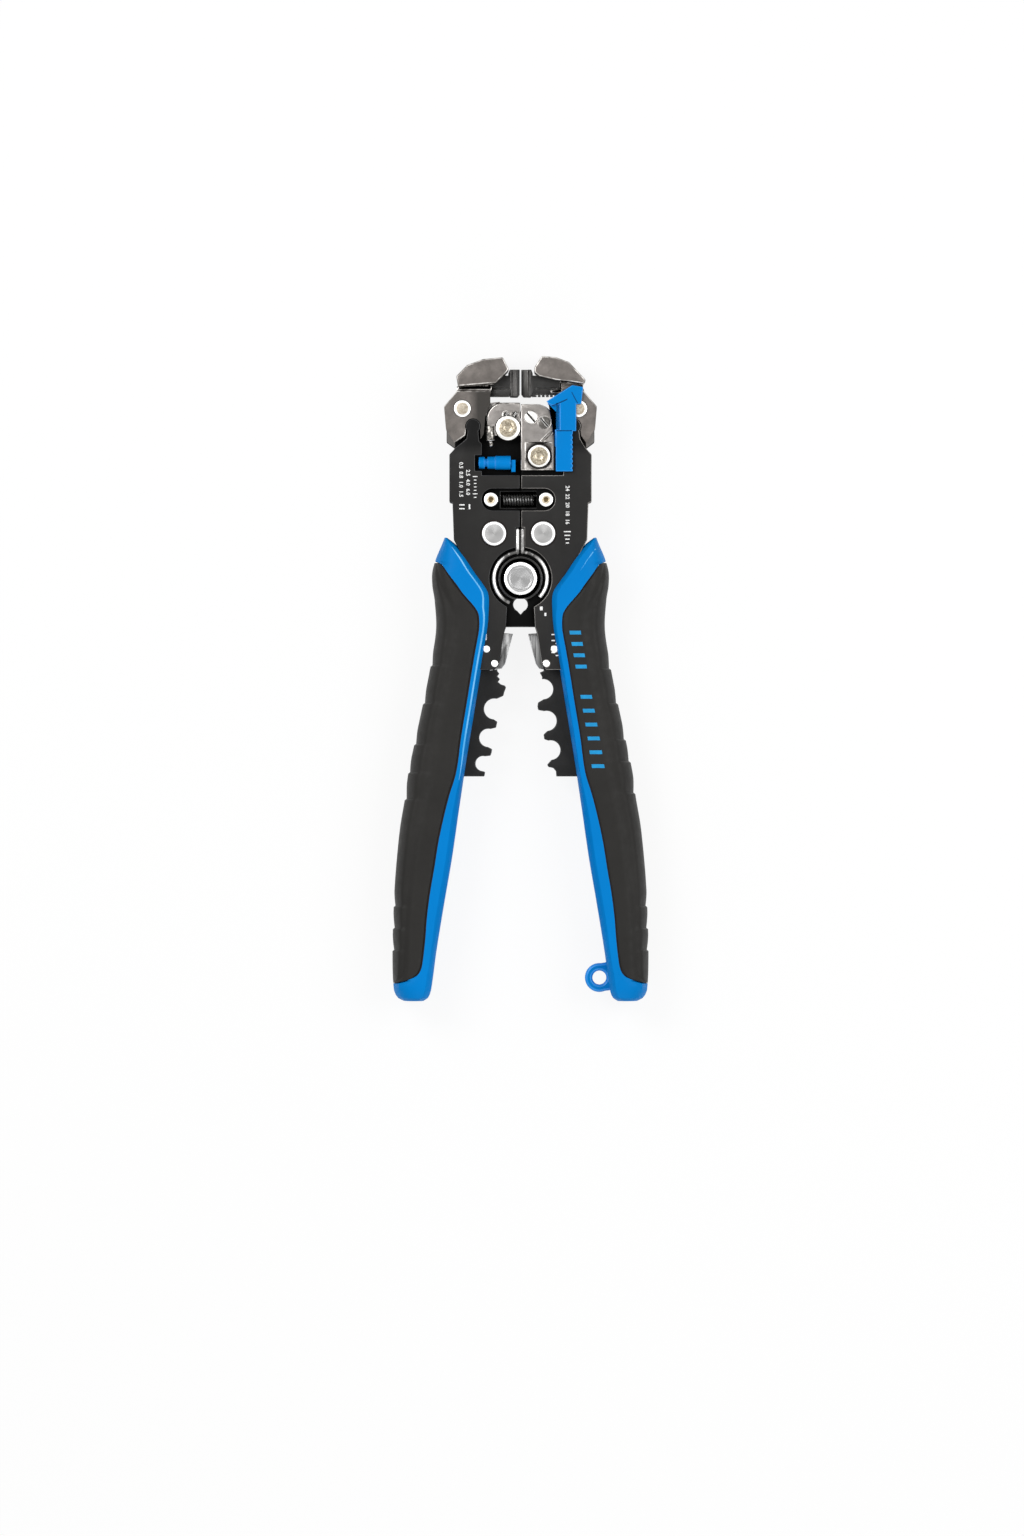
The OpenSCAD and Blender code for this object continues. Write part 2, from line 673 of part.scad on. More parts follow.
module core_profile(side) {
    difference() {
        polygon(core_edge(side));
        for (n = nests[side]) let (
            r = nest_r - n[1],
            high = n[0] + (r - 0.05) * [cos(nest_mouth[0]), sin(nest_mouth[0])],
            low = n[0] + (r - 0.05) * [cos(nest_mouth[1]), sin(nest_mouth[1])]
        ) {
            translate(n[0]) circle(r);
            // mouth that flares to both lips and past them
            polygon([n[0], low, low + 2 * (n[3] - low), high + 2 * (n[2] - high), high]);
        }
    }
}

module core(side) {
    floor_z = side == LEFT ? -core_z - over : -lap;
    seat_z = side == LEFT ? lap : -core_z - over;
    color("#303134") on_side(side) difference() {
        layer(-core_z, core_z) {
            core_profile(side);
            circle(core_disc_r);
            polygon([[-2, 7], [-4.6, 15.4], [-11.6, 13.6], [-7, 2]]);
            at_rivet(side) circle(rivet_head_r);
        }
        // the two cores lap each other at the pivot, each at half thickness
        rod(core_disc_r + core_disc_gap, floor_z, floor_z + core_z + over + lap);
        layer(seat_z, seat_z + core_z + over - (side == LEFT ? 0 : lap)) blade_outline();
        rod(bolt_r + running, -10, 10);
        layer(-10, 10) {
            sight_hole();
            at_rivet(side) circle(rivet_r);
            for (p = small_rivet_at) translate(p) circle(small_rivet_r);
        }
    }
}

// Cutter blades lie in opposite halves of the cores and pass each other like shears
module blade_outline() {
    polygon([[-2.4, -17.5], [-4.9, -27.1], [-6, -28.6], [-9.8, -29.2], [-9.2, -17]]);
}

module blade(side) {
    low = side == LEFT ? lap : -core_z;
    color("#c4c6c9") on_side(side) difference() {
        layer(low, low + core_z - lap) blade_outline();
        for (p = small_rivet_at) translate(p) rod(small_rivet_r, -10, 10);
    }
}

// Handles: a rounded section carried along hand-chosen edges, split into shell and grip

outer_edge = fitted([
    [-134.3, -37.2], [-133.4, -39], [-131, -40.4], [-118.7, -40.9], [-107, -40.6], [-99.6, -40.3],
    [-90, -39.6], [-78.6, -38.4], [-69.1, -36.8], [-61.4, -35.8], [-52.5, -33.9], [-43.6, -32],
    [-34.7, -30.1], [-24.5, -28.2], [-15.6, -27], [-6.7, -27.5], [-2.2, -28.2], [2.2, -28.2],
    [6.7, -26.9], [11, -25], [13, -24.2]
]);
inner_edge = fitted([
    [-134.3, -31], [-133.4, -29.6], [-131, -28.6], [-118.7, -26.9], [-103.4, -24.4], [-88.2, -21.8],
    [-72.9, -19.6], [-57.6, -17.3], [-42.3, -14.8], [-27.1, -12.3], [-15.6, -10.3], [-7.8, -9.7],
    [-4.5, -10], [-2.2, -11.3], [2.2, -14.5], [6.7, -17.3], [11, -20.8], [13, -23.4]
]);
grip_edge = fitted([
    [-128.5, -39.2], [-128.2, -38.2], [-127.6, -35.7], [-126.4, -33.2], [-124.6, -31.9],
    [-122.5, -31.3], [-114.9, -30.4], [-107.3, -29.8], [-99.6, -28.8],
    [-92, -27.5], [-84.4, -26.3], [-76.7, -24.7], [-69.1, -22.8], [-61.4, -20.5], [-50, -18.9],
    [-38.5, -17], [-30.9, -15.8], [-23.2, -14.5], [-17.8, -13.5], [-15.6, -13.2], [-13.4, -13.2],
    [-11.1, -13.5], [-8.9, -14.8], [-6.7, -16.7], [-4.5, -18.6], [-2.2, -20.2], [0, -21.8],
    [2.2, -23.4], [4.5, -25], [5, -26.2], [5.4, -27.3]
]);
face_drop = fitted([
    [-134.3, 2.6], [-133.4, 1.2], [-131, 0.2], [-129, 0], [2, 0], [6.7, 0.4], [11, 1.2], [13, 2.2]
]);
grip_top = 5;
drawn_stations = [
    13, 11, 9, 6.7, 5.5, 5.4, grip_top, 4.5, 2.2, 0, -2.2, -4.5, -6.7, -8.9, -11.1, -13.4, -15.6,
    -17.8, -23.2, -30.9, -38.5, -50, -61.4, -69.1, -76.7, -84.4, -92, -99.6, -107.3, -114.9,
    -122.5, -124.6, -126.4, -127.6, -128.2, drawn_foot, drawn_foot - 0.1, -131, -133.4, -134.3
];
stations = [for (y = drawn_stations) y == drawn_foot ? grip_foot : stretched(y)];
curve_steps = 7;
// Exponent of the rounded outer side, where 2 would be an ellipse
roundness = 2.5;
round_depth = 8;
// Bevel of the grip's edge where it meets the shell
seam_bevel = 0.2;

// Half height of the section at x, rounded off towards the outer edge
function height(x, outer, depth, h) =
    h * pow(1 - pow(max(0, 1 - (x - outer) / depth), roundness), 1 / roundness);
function face_curve(y, from_x, to_x, outer, depth, h, up) = [for (k = [0:curve_steps])
    let (f = pow(1 - (up > 0 ? k : curve_steps - k) / curve_steps, 2), x = to_x + (from_x - to_x) * f)
        [x, y, up * height(x, outer, depth, h)]];

// One closed section between the inner side and a cut: two faces, a side wall and a chamfer
function section(y, start, cut, inner_z, depth, outer, h) = concat(
        [[start[1], y, inner_z]],
        face_curve(y, start[0], cut, outer, depth, h, 1),
        face_curve(y, start[0], cut, outer, depth, h, -1),
        [[start[1], y, -inner_z]]
    );
function beside_grip(y) = y <= 5.4 && y >= grip_foot;
function outside(y) = lookup(y, outer_edge);
function depth_at(y) = min(round_depth, 0.7 * (lookup(y, inner_edge) - outside(y)));
function face_z(y) = handle_z - lookup(y, face_drop);
function shell_section(y) = let (
        inner = lookup(y, inner_edge),
        edge = outside(y) + 0.02 * depth_at(y),
        cut = beside_grip(y) ? max(edge, lookup(y, grip_edge)) : edge,
        chamfer = min(1.7, 0.25 * (inner - cut))
    ) section(y, [inner - chamfer, inner], cut, face_z(y) - 2, depth_at(y), outside(y), face_z(y));
function grip_section(y) = let (
        inner = lookup(y, grip_edge),
        wall_z = height(inner, outside(y), depth_at(y), face_z(y))
    ) section(y, [inner - seam_bevel, inner], outside(y) + 0.02 * depth_at(y), wall_z - seam_bevel,
        depth_at(y), outside(y), face_z(y));

module loft(sections) {
    points = [for (s = sections) each s];
    polyhedron(points, tube_faces(len(sections), len(sections[0])), convexity = 10);
}

// Space that the steel takes inside a handle
module tang_space(side) {
    layer(-plate_top, plate_top) polygon(plate_edge(side));
    layer(-core_z, core_z) polygon(core_edge(side));
    for (p = small_rivet_at) translate(p)
        rod(small_rivet_r + 0.1, -small_rivet_top - 0.2, small_rivet_top + 0.2);
}

module shell(side) {
    color("#1b86d6") on_side(side) difference() {
        loft([for (y = stations) shell_section(y)]);
        tang_space(side);
        if (side == RIGHT) layer(-lanyard_t / 2, lanyard_t / 2) lanyard_root();
    }
}

module grip(side) {
    color("#2b2b2b") on_side(side) difference() {
        loft([for (y = stations) if (y <= grip_top && y >= grip_foot) grip_section(y)]);
        layer(-core_z, core_z) polygon(core_edge(side));
    }
}

// Lanyard eye, moulded into the foot of the right handle
module lanyard_root() {
    translate(lanyard_at) polygon([[0, 4.5], [-5.9, 5.5], [-5.9, -3.7], [0, -4.5]]);
}

module lanyard_eye() {
    color("#1b86d6") on_side(RIGHT) layer(-lanyard_t / 2, lanyard_t / 2) difference() {
        union() {
            lanyard_root();
            translate(lanyard_at) circle(lanyard_hole_r + 2.4);
        }
        translate(lanyard_at) circle(lanyard_hole_r);
    }
}

module in_place() {
    translate([0, -(head_top + handle_end) / 2, handle_z]) children();
}

in_place() {
    cheek(RIGHT, 0);  // right_cheek_front
    cheek(RIGHT, 1);  // right_cheek_back
    lower_jaw(RIGHT);  // right_lower_jaw
    jaw_screw(RIGHT);  // right_jaw_screw
    lower_insert(RIGHT);  // right_lower_blade
    set_screws(RIGHT);  // right_set_screws
    spring_post(RIGHT);  // right_spring_post
    jaw_pin(RIGHT);  // right_jaw_pin
    pivot_bolt();
    pivot_nut();
    pivot_washer(0);  // pivot_washer_front
    pivot_washer(1);  // pivot_washer_back
    cheek(LEFT, 0);  // left_cheek_front
    cheek(LEFT, 1);  // left_cheek_back
    lower_jaw(LEFT);  // left_lower_jaw
    jaw_screw(LEFT);  // left_jaw_screw
    lower_insert(LEFT);  // left_lower_pad
    gauge_pin();
    set_screws(LEFT);  // left_set_screws
    spring_post(LEFT);  // left_spring_post
    jaw_pin(LEFT);  // left_jaw_pin
    tension_spring();
    adjuster_screw();
    adjuster_knob();
    plate(LEFT, 0);  // left_plate_front
    plate(LEFT, 1);  // left_plate_back
    core(LEFT);  // left_core
    plate_rivet(LEFT);  // left_plate_rivet
    blade(LEFT);  // left_blade
    small_rivets(LEFT);  // left_small_rivets
    shell(LEFT);  // left_shell
    grip(LEFT);  // left_grip
    return_spring(LEFT);  // left_return_spring
    plate(RIGHT, 0);  // right_plate_front
    plate(RIGHT, 1);  // right_plate_back
    core(RIGHT);  // right_core
    plate_rivet(RIGHT);  // right_plate_rivet
    blade(RIGHT);  // right_blade
    small_rivets(RIGHT);  // right_small_rivets
    shell(RIGHT);  // right_shell
    grip(RIGHT);  // right_grip
    return_spring(RIGHT);  // right_return_spring
    lanyard_eye();
    upper_jaw(LEFT);  // left_upper_jaw
    upper_pad(LEFT);  // left_upper_pad
    upper_jaw(RIGHT);  // right_upper_jaw
    upper_pad(RIGHT);  // right_upper_blade
    length_stop();
}
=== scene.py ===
import functools
import json
import math

import bpy
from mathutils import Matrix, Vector


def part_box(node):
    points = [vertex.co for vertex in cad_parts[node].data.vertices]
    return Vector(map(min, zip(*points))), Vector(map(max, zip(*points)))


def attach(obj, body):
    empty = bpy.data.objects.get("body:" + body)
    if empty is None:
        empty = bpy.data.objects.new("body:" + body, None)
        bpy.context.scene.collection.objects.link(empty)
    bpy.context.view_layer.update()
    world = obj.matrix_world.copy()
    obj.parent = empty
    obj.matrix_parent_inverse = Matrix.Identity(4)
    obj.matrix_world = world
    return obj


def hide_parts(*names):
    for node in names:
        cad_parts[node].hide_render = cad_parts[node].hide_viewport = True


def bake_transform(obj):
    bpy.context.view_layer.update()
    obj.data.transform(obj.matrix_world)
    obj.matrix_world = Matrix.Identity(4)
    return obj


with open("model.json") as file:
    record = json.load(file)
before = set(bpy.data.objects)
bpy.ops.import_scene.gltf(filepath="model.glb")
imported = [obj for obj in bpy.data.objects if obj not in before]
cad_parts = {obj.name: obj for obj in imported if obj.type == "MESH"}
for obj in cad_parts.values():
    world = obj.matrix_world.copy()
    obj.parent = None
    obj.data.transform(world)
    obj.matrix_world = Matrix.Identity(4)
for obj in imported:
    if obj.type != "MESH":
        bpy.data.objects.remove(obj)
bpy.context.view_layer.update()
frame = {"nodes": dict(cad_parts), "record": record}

bl_info = {
    "name": "Automatic wire stripper",
    "version": (1, 0, 0),
    "blender": (4, 5, 0),
    "location": "3D View > Sidebar > Stripper",
    "description": "Dresses the packed solids of an automatic wire stripper",
    "category": "Object",
}

# Places are given in millimetres about the main pivot unless a name says otherwise
MM = 0.001
BOLT_LOW, BOLT_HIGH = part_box("pivot_bolt")
GRIP_LOW, GRIP_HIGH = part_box("left_grip")
PLATE_LOW, PLATE_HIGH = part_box("left_plate_front")
PIVOT = Vector(((BOLT_LOW.x + BOLT_HIGH.x) / 2, (BOLT_LOW.y + BOLT_HIGH.y) / 2,
                (GRIP_LOW.z + GRIP_HIGH.z) / 2))
HALF_DEPTH = (GRIP_HIGH.z - GRIP_LOW.z) / 2 / MM
PLATE_TOP = (PLATE_HIGH.z - PIVOT.z) / MM
SIDES = ("left", "right")


def at(x, y, z=0.0):
    """A place given in millimetres from the main pivot, in metres in the frame."""
    return PIVOT + Vector((x, y, z)) * MM


# Settings


def colour(name, about, value):
    return bpy.props.FloatVectorProperty(name=name, description=about, subtype="COLOR", size=3,
                                         min=0, max=1, default=value)


def length(name, about, value, most):
    return bpy.props.FloatProperty(name=name, description=about, unit="LENGTH", subtype="DISTANCE",
                                   min=0, max=most * MM, default=value * MM, precision=5)


class StripperSettings(bpy.types.PropertyGroup):
    """Colours and small sizes that a user may want to change."""
    shell_color: colour("Shell", "Colour of the moulded handle shells", (0.0, 0.2, 0.58))
    grip_color: colour("Grip", "Colour of the soft grips", (0.0115, 0.0108, 0.0098))
    plate_color: colour("Plates", "Colour of the blackened lever plates", (0.0135, 0.013, 0.0125))
    carrier_color: colour("Carriers", "Colour of the black carrier cheeks", (0.0015, 0.0015, 0.0015))
    jaw_color: colour("Jaws", "Colour of the cast jaws", (0.125, 0.112, 0.103))
    print_color: colour("Print", "Colour of the printed scale", (0.86, 0.86, 0.85))
    mark_color: colour("Grip marks", "Colour of the bars on the right grip", (0.01, 0.29, 0.62))
    plate_bevel: length("Plate edges", "Width of the broken edges of the plates", 0.2, 0.5)
    hood_bevel: length("Hood edges", "Width of the ground edges of the jaw hoods", 0.4, 0.6)
    rim_bevel: length("Head rims", "Width of the rim turned on each fastener's head", 0.45, 0.6)
    notch_depth: length("Grip steps", "Depth of the anti-slip steps in the grips", 0.6, 1.0)
    print_depth: length("Print thickness", "Thickness of the printed scale", 0.03, 0.1)


def settings():
    return bpy.context.scene.stripper


# Finishes

# Sockets of a Mix node that blends colours
MIX_FIRST, MIX_SECOND, MIX_RESULT = 6, 7, 2


class Finish:
    """A procedural material built from the shader outwards."""

    def __init__(self, name, color, roughness, metallic=0.0, **constants):
        self.material = bpy.data.materials.new(name)
        self.material.use_nodes = True
        self.tree = self.material.node_tree
        self.tree.nodes.clear()
        self.output = self.tree.nodes.new("ShaderNodeOutputMaterial")
        self.shader = self.tree.nodes.new("ShaderNodeBsdfPrincipled")
        self.tree.links.new(self.shader.outputs[0], self.output.inputs["Surface"])
        self.shader.inputs["Base Color"].default_value = (*color, 1)
        self.shader.inputs["Roughness"].default_value = roughness
        self.shader.inputs["Metallic"].default_value = metallic
        for socket, value in constants.items():
            self.shader.inputs[socket.replace("_", " ")].default_value = value
        self.material.diffuse_color = (*color, 1)
        self.color = None
        self.base = color
        self.roughness = roughness
        self.place = self.tree.nodes.new("ShaderNodeTexCoord").outputs["Object"]
        self.normal = None

    def add(self, kind, **values):
        node = self.tree.nodes.new(kind)
        for key, value in values.items():
            setattr(node, key, value)
        return node

    def link(self, source, target):
        self.tree.links.new(source, target)

    def stretched(self, scale, turn=0.0):
        """Object coordinates turned about Z and stretched."""
        node = self.add("ShaderNodeMapping")
        node.inputs["Rotation"].default_value = (0, 0, turn)
        node.inputs["Scale"].default_value = scale
        self.link(self.place, node.inputs["Vector"])
        return node.outputs[0]

    def noise(self, size_mm, detail=3.0, rough=0.5, vector=None):
        """A cloudy pattern whose patches are about a size across."""
        node = self.add("ShaderNodeTexNoise")
        node.inputs["Scale"].default_value = 1 / (size_mm * MM)
        node.inputs["Detail"].default_value = detail
        node.inputs["Roughness"].default_value = rough
        self.link(vector or self.place, node.inputs["Vector"])
        return node.outputs[0]

    def spread(self, value, low, high, from_low=0.3, from_high=0.7):
        """Stretches a pattern's range to the range low to high."""
        node = self.add("ShaderNodeMapRange")
        for socket, number in (("From Min", from_low), ("From Max", from_high),
                               ("To Min", low), ("To Max", high)):
            node.inputs[socket].default_value = number
        self.link(value, node.inputs["Value"])
        return node.outputs[0]

    def vary_color(self, value, other, from_low=0.3, from_high=0.7):
        """Blends the colour so far into another as the pattern rises."""
        node = self.add("ShaderNodeMix", data_type="RGBA")
        node.inputs[MIX_FIRST].default_value = (*self.base, 1)
        if self.color is not None:
            self.link(self.color, node.inputs[MIX_FIRST])
        node.inputs[MIX_SECOND].default_value = (*other, 1)
        self.link(self.spread(value, 0, 1, from_low, from_high), node.inputs[0])
        self.color = node.outputs[MIX_RESULT]
        self.link(self.color, self.shader.inputs["Base Color"])
        return self

    def vary_roughness(self, value, swing):
        """Lets the roughness swing about its own value with the pattern."""
        self.link(self.spread(value, self.roughness - swing, self.roughness + swing),
                  self.shader.inputs["Roughness"])
        return self

    def bump(self, value, depth_mm):
        """Raises the surface with the pattern, on top of any earlier bump."""
        node = self.add("ShaderNodeBump")
        node.inputs["Strength"].default_value = 1
        node.inputs["Distance"].default_value = depth_mm * MM
        self.link(value, node.inputs["Height"])
        if self.normal is not None:
            self.link(self.normal, node.inputs["Normal"])
        self.normal = node.outputs[0]
        self.link(self.normal, self.shader.inputs["Normal"])
        return self

    def times(self, first, second):
        node = self.add("ShaderNodeMath", operation="MULTIPLY")
        self.link(first, node.inputs[0])
        self.link(second, node.inputs[1])
        return node.outputs[0]

    def measured(self, axis, absolute=False):
        """Distance from the pivot along an axis, in millimetres."""
        split = self.add("ShaderNodeSeparateXYZ")
        self.link(self.place, split.inputs[0])
        offset = self.add("ShaderNodeMath", operation="SUBTRACT")
        offset.inputs[1].default_value = PIVOT[axis]
        self.link(split.outputs[axis], offset.inputs[0])
        scaled = self.add("ShaderNodeMath", operation="MULTIPLY")
        scaled.inputs[1].default_value = 1 / MM
        self.link(offset.outputs[0], scaled.inputs[0])
        if not absolute:
            return scaled.outputs[0]
        size = self.add("ShaderNodeMath", operation="ABSOLUTE")
        self.link(scaled.outputs[0], size.inputs[0])
        return size.outputs[0]

    def turned(self):
        """Makes the brushing run round each disc's own middle; gives the radius in millimetres."""
        centre = self.add("ShaderNodeUVMap", uv_map="centre").outputs[0]
        cross = self.add("ShaderNodeVectorMath", operation="CROSS_PRODUCT")
        self.link(centre, cross.inputs[0])
        cross.inputs[1].default_value = (0, 0, 1)
        world = self.add("ShaderNodeVectorTransform", vector_type="VECTOR", convert_from="OBJECT",
                         convert_to="WORLD")
        self.link(cross.outputs[0], world.inputs[0])
        self.link(world.outputs[0], self.shader.inputs["Tangent"])
        radius = self.add("ShaderNodeVectorMath", operation="LENGTH")
        self.link(centre, radius.inputs[0])
        return radius.outputs["Value"]


def blackened_steel():
    f = Finish("blackened_steel", settings().plate_color, 0.55, 0.0, Specular_IOR_Level=0.14)
    f.vary_color(f.noise(14, 4), [1.3 * c for c in settings().plate_color])
    # painted shade: the fingers that reach up to the jaws are darkened to near black
    f.vary_color(f.measured(1), (0.001, 0.001, 0.001), 39.5, 42.5)
    f.vary_roughness(f.noise(3, 5), 0.07)
    return f.bump(f.noise(0.35, 4), 0.014).material


def black_edge():
    f = Finish("blackened_edge", (0.012, 0.012, 0.0125), 0.38, 0.35)
    f.vary_color(f.noise(5, 4), (0.05, 0.05, 0.052), 0.45, 0.75)
    return f.material


def right_plate_edge_highlight():
    # painted highlight: a lighter edge for the right plates than the left ones get
    f = Finish("right_plate_edge_highlight", (0.2, 0.19, 0.18), 0.4, 0.6)
    f.vary_color(f.noise(5, 4), (0.09, 0.085, 0.08), 0.45, 0.7)
    return f.material


def core_steel():
    f = Finish("core_steel", (0.0085, 0.0085, 0.0083), 0.5, 0.1, Specular_IOR_Level=0.16)
    f.vary_color(f.noise(4, 5), (0.013, 0.0128, 0.0125))
    return f.bump(f.noise(0.4, 4), 0.012).material


def carrier_steel():
    f = Finish("carrier_steel", settings().carrier_color, 0.6, 0.0, Specular_IOR_Level=0.05)
    f.vary_color(f.noise(6, 5), [1.6 * c for c in settings().carrier_color])
    # lighter grey at the outer corners, more than 20.7 mm to either side
    f.vary_color(f.measured(0, True), (0.2, 0.19, 0.18), 20.7, 21)
    return f.bump(f.noise(0.3, 3), 0.01).material


def washer_steel():
    f = Finish("washer_steel", (0.012, 0.012, 0.012), 0.36, 0.5)
    f.vary_color(f.noise(1.5, 4), (0.026, 0.025, 0.024))
    return f.material


def grey_rim():
    f = Finish("grey_rim", (0.16, 0.155, 0.15), 0.35, 0.8)
    f.vary_color(f.noise(1.2, 4), (0.09, 0.088, 0.085))
    return f.material


def jaw_steel():
    dark = [0.72 * c for c in settings().jaw_color]
    f = Finish("jaw_steel", dark, 0.45, 0.75)
    f.vary_color(f.noise(3.2, 6, 0.62), [1.22 * c for c in settings().jaw_color])
    # painted shade: the feet are darkened where they turn in beneath the pads
    foot_shade = f.times(f.spread(f.measured(0, True), 1, 0, 13.5, 16.5),
                   f.spread(f.measured(1), 1, 0, 59, 61))
    f.vary_color(foot_shade, (0.035, 0.032, 0.029), 0, 1)
    f.vary_roughness(f.noise(0.9, 4), 0.08)
    return f.bump(f.noise(0.42, 5, 0.6), 0.045).material


def clamp_steel():
    f = Finish("clamp_steel", (0.17, 0.157, 0.148), 0.42, 0.75)
    f.vary_color(f.noise(2.4, 6, 0.62), (0.25, 0.235, 0.222))
    f.vary_roughness(f.noise(0.9, 4), 0.08)
    return f.bump(f.noise(0.42, 5, 0.6), 0.03).material


def jaw_edge():
    f = Finish("jaw_edge", (0.6, 0.575, 0.55), 0.36, 0.9)
    f.vary_color(f.noise(2.4, 5), (0.2, 0.187, 0.175), 0.42, 0.6)
    return f.bump(f.noise(0.4, 3), 0.012).material


def pad_steel():
    f = Finish("pad_steel", (0.007, 0.0068, 0.0065), 0.45, 0.4)
    f.vary_color(f.noise(2, 4), (0.016, 0.015, 0.014))
    # painted highlight: the round ribs at the inner ends are lighter
    rib_highlight = f.times(f.spread(f.measured(0, True), 0, 1, 1, 1.5),
                  f.spread(f.measured(0, True), 1, 0, 2.2, 2.9))
    f.vary_color(rib_highlight, (0.07, 0.067, 0.064), 0, 1)
    return f.bump(f.noise(0.3, 4), 0.02).material


def pad_edge():
    f = Finish("pad_edge", (0.12, 0.117, 0.113), 0.36, 0.85)
    f.vary_color(f.noise(1.1, 4), (0.05, 0.048, 0.046))
    return f.material


def disc(name, face, rim, rim_from, roughness=0.3, brushing=0.75, worn=None, core=None):
    """Turned metal: the face's colour up to a radius in millimetres, and the rim's beyond it."""
    f = Finish(name, core or face, roughness, 0.9, Anisotropic=brushing)
    radius = f.turned()
    if core:
        f.vary_color(radius, face, 0.78, 0.86)
    if worn:
        f.vary_color(f.noise(0.55, 4, 0.7), worn, 0.42, 0.6)
    f.vary_color(radius, rim, rim_from - 0.1, rim_from + 0.1)
    rings = f.add("ShaderNodeTexNoise", noise_dimensions="1D")
    rings.inputs["Scale"].default_value = 6
    rings.inputs["Detail"].default_value = 2
    f.link(radius, rings.inputs["W"])
    f.bump(rings.outputs[0], 0.006)
    return f.material


def bolt_steel():
    return disc("bolt_steel", (0.35, 0.35, 0.35), (0.95, 0.945, 0.94), 4.3, roughness=0.27)


def rivet_steel():
    return disc("rivet_steel", (0.34, 0.338, 0.335), (0.9, 0.9, 0.895), 3.05, roughness=0.34,
                brushing=0.5)


def pin_steel():
    return disc("pin_steel", (0.5, 0.45, 0.37), (0.92, 0.915, 0.9), 1.95, roughness=0.32,
                brushing=0.3, worn=(0.3, 0.25, 0.185))


def post_steel():
    return disc("post_steel", (0.5, 0.43, 0.32), (0.93, 0.925, 0.91), 1.3, brushing=0.2,
                core=(0.12, 0.085, 0.04))


def screw_steel():
    return disc("screw_steel", (0.46, 0.41, 0.32), (0.86, 0.85, 0.82), 2.9, brushing=0.3,
                worn=(0.2, 0.165, 0.115))


def small_steel():
    return disc("small_steel", (0.85, 0.845, 0.83), (0.92, 0.915, 0.9), 0.8, roughness=0.32,
                brushing=0.2)


def gauge_pin_steel():
    f = Finish("gauge_pin_steel", (0.42, 0.4, 0.37), 0.3, 0.95)
    f.vary_color(f.noise(0.7, 5, 0.7), (0.05, 0.047, 0.043), 0.42, 0.55)
    return f.bump(f.noise(0.5, 3), 0.02).material


def small_screw_steel():
    """Painted shade: slots darkened, and heads painted brighter the further they stand out."""
    f = Finish("small_screw_steel", (0.02, 0.019, 0.017), 0.32, 0.9)
    # in the right jaw the slots' floors lie at 8.2, and the two heads at 8.6 and 9.2
    f.vary_color(f.measured(2, True), (0.1, 0.095, 0.088), 8.25, 8.45)
    f.vary_color(f.measured(2, True), (0.8, 0.785, 0.755), 8.75, 8.95)
    f.vary_color(f.noise(0.6, 4, 0.6), (0.16, 0.15, 0.135), 0.55, 0.7)
    return f.material


def bright_steel():
    f = Finish("bright_steel", (0.8, 0.795, 0.785), 0.3, 0.9)
    f.vary_color(f.noise(1.4, 4, 0.6), (0.5, 0.49, 0.475), 0.45, 0.7)
    return f.bump(f.noise(0.5, 3), 0.006).material


def blade_steel():
    f = Finish("blade_steel", (0.055, 0.055, 0.055), 0.34, 0.95)
    # grinding marks along the blade
    grain = f.noise(0.62, 3, 0.6, f.stretched((1, 0.04, 1), turn=0.2))
    f.vary_color(grain, (0.2, 0.2, 0.2), 0.36, 0.62)
    return f.bump(grain, 0.02).material


def blade_edge():
    f = Finish("blade_edge", (0.6, 0.6, 0.6), 0.3, 1.0)
    f.vary_color(f.noise(0.8, 3), (0.4, 0.4, 0.4))
    return f.material


def spring_steel():
    f = Finish("spring_steel", (0.34, 0.34, 0.335), 0.34, 0.8)
    f.vary_color(f.noise(0.8, 3), (0.08, 0.08, 0.08))
    return f.material


def return_wire():
    f = Finish("return_wire", (0.09, 0.088, 0.085), 0.34, 0.7)
    # painted highlight: bright where the wire bows out at the sides, and along its straight legs
    f.vary_color(f.measured(0, True), (0.9, 0.895, 0.885), 4.9, 7.2)
    f.vary_color(f.measured(1), (0.55, 0.545, 0.535), 8.9, 9.7)
    # painted shade: the right leg is darkened
    right_leg_shade = f.times(f.spread(f.measured(1), 0, 1, 8.9, 9.7), f.spread(f.measured(0), 0, 1, -0.1, 0.1))
    f.vary_color(right_leg_shade, (0.24, 0.238, 0.233), 0, 1)
    f.vary_color(f.noise(1.1, 4), (0.6, 0.595, 0.585), 0.5, 0.75)
    return f.material


def blue_plastic():
    f = Finish("blue_plastic", settings().shell_color, 0.45, 0.0, Specular_IOR_Level=0.05)
    f.vary_color(f.noise(26, 3), [0.9 * c for c in settings().shell_color])
    f.vary_roughness(f.noise(1.4, 4), 0.05)
    return f.bump(f.noise(0.5, 4), 0.01).material


def blue_edge_highlight():
    # painted highlight: the plastic's broken edges are a lighter blue than its faces
    f = Finish("blue_edge_highlight", [min(1, 1.35 * c + 0.03) for c in settings().shell_color], 0.36, 0.0,
               Specular_IOR_Level=0.3)
    f.vary_color(f.noise(9, 3), settings().shell_color)
    return f.material


def crease_highlight_blue():
    """Painted highlight along a shell's crease: a pale line where the face meets the bevel."""
    f = Finish("crease_highlight_blue", (0.2, 0.5, 0.8), 0.4, 0.0, Specular_IOR_Level=0.3)
    f.vary_color(f.noise(12, 4), (0.05, 0.35, 0.7))
    return f.material


def fold_shade_blue():
    f = Finish("fold_shade_blue", (0.0, 0.06, 0.19), 0.5, 0.0, Specular_IOR_Level=0.1)
    f.vary_color(f.noise(2, 3), (0.0, 0.03, 0.1))
    return f.material


def seam_and_shadow_black():
    # dark joints, and painted shadow where it rings the fasteners
    f = Finish("seam_and_shadow_black", (0.006, 0.0045, 0.004), 0.6, 0.0, Specular_IOR_Level=0.15)
    f.vary_color(f.noise(9, 3), (0.014, 0.009, 0.0075))
    return f.material


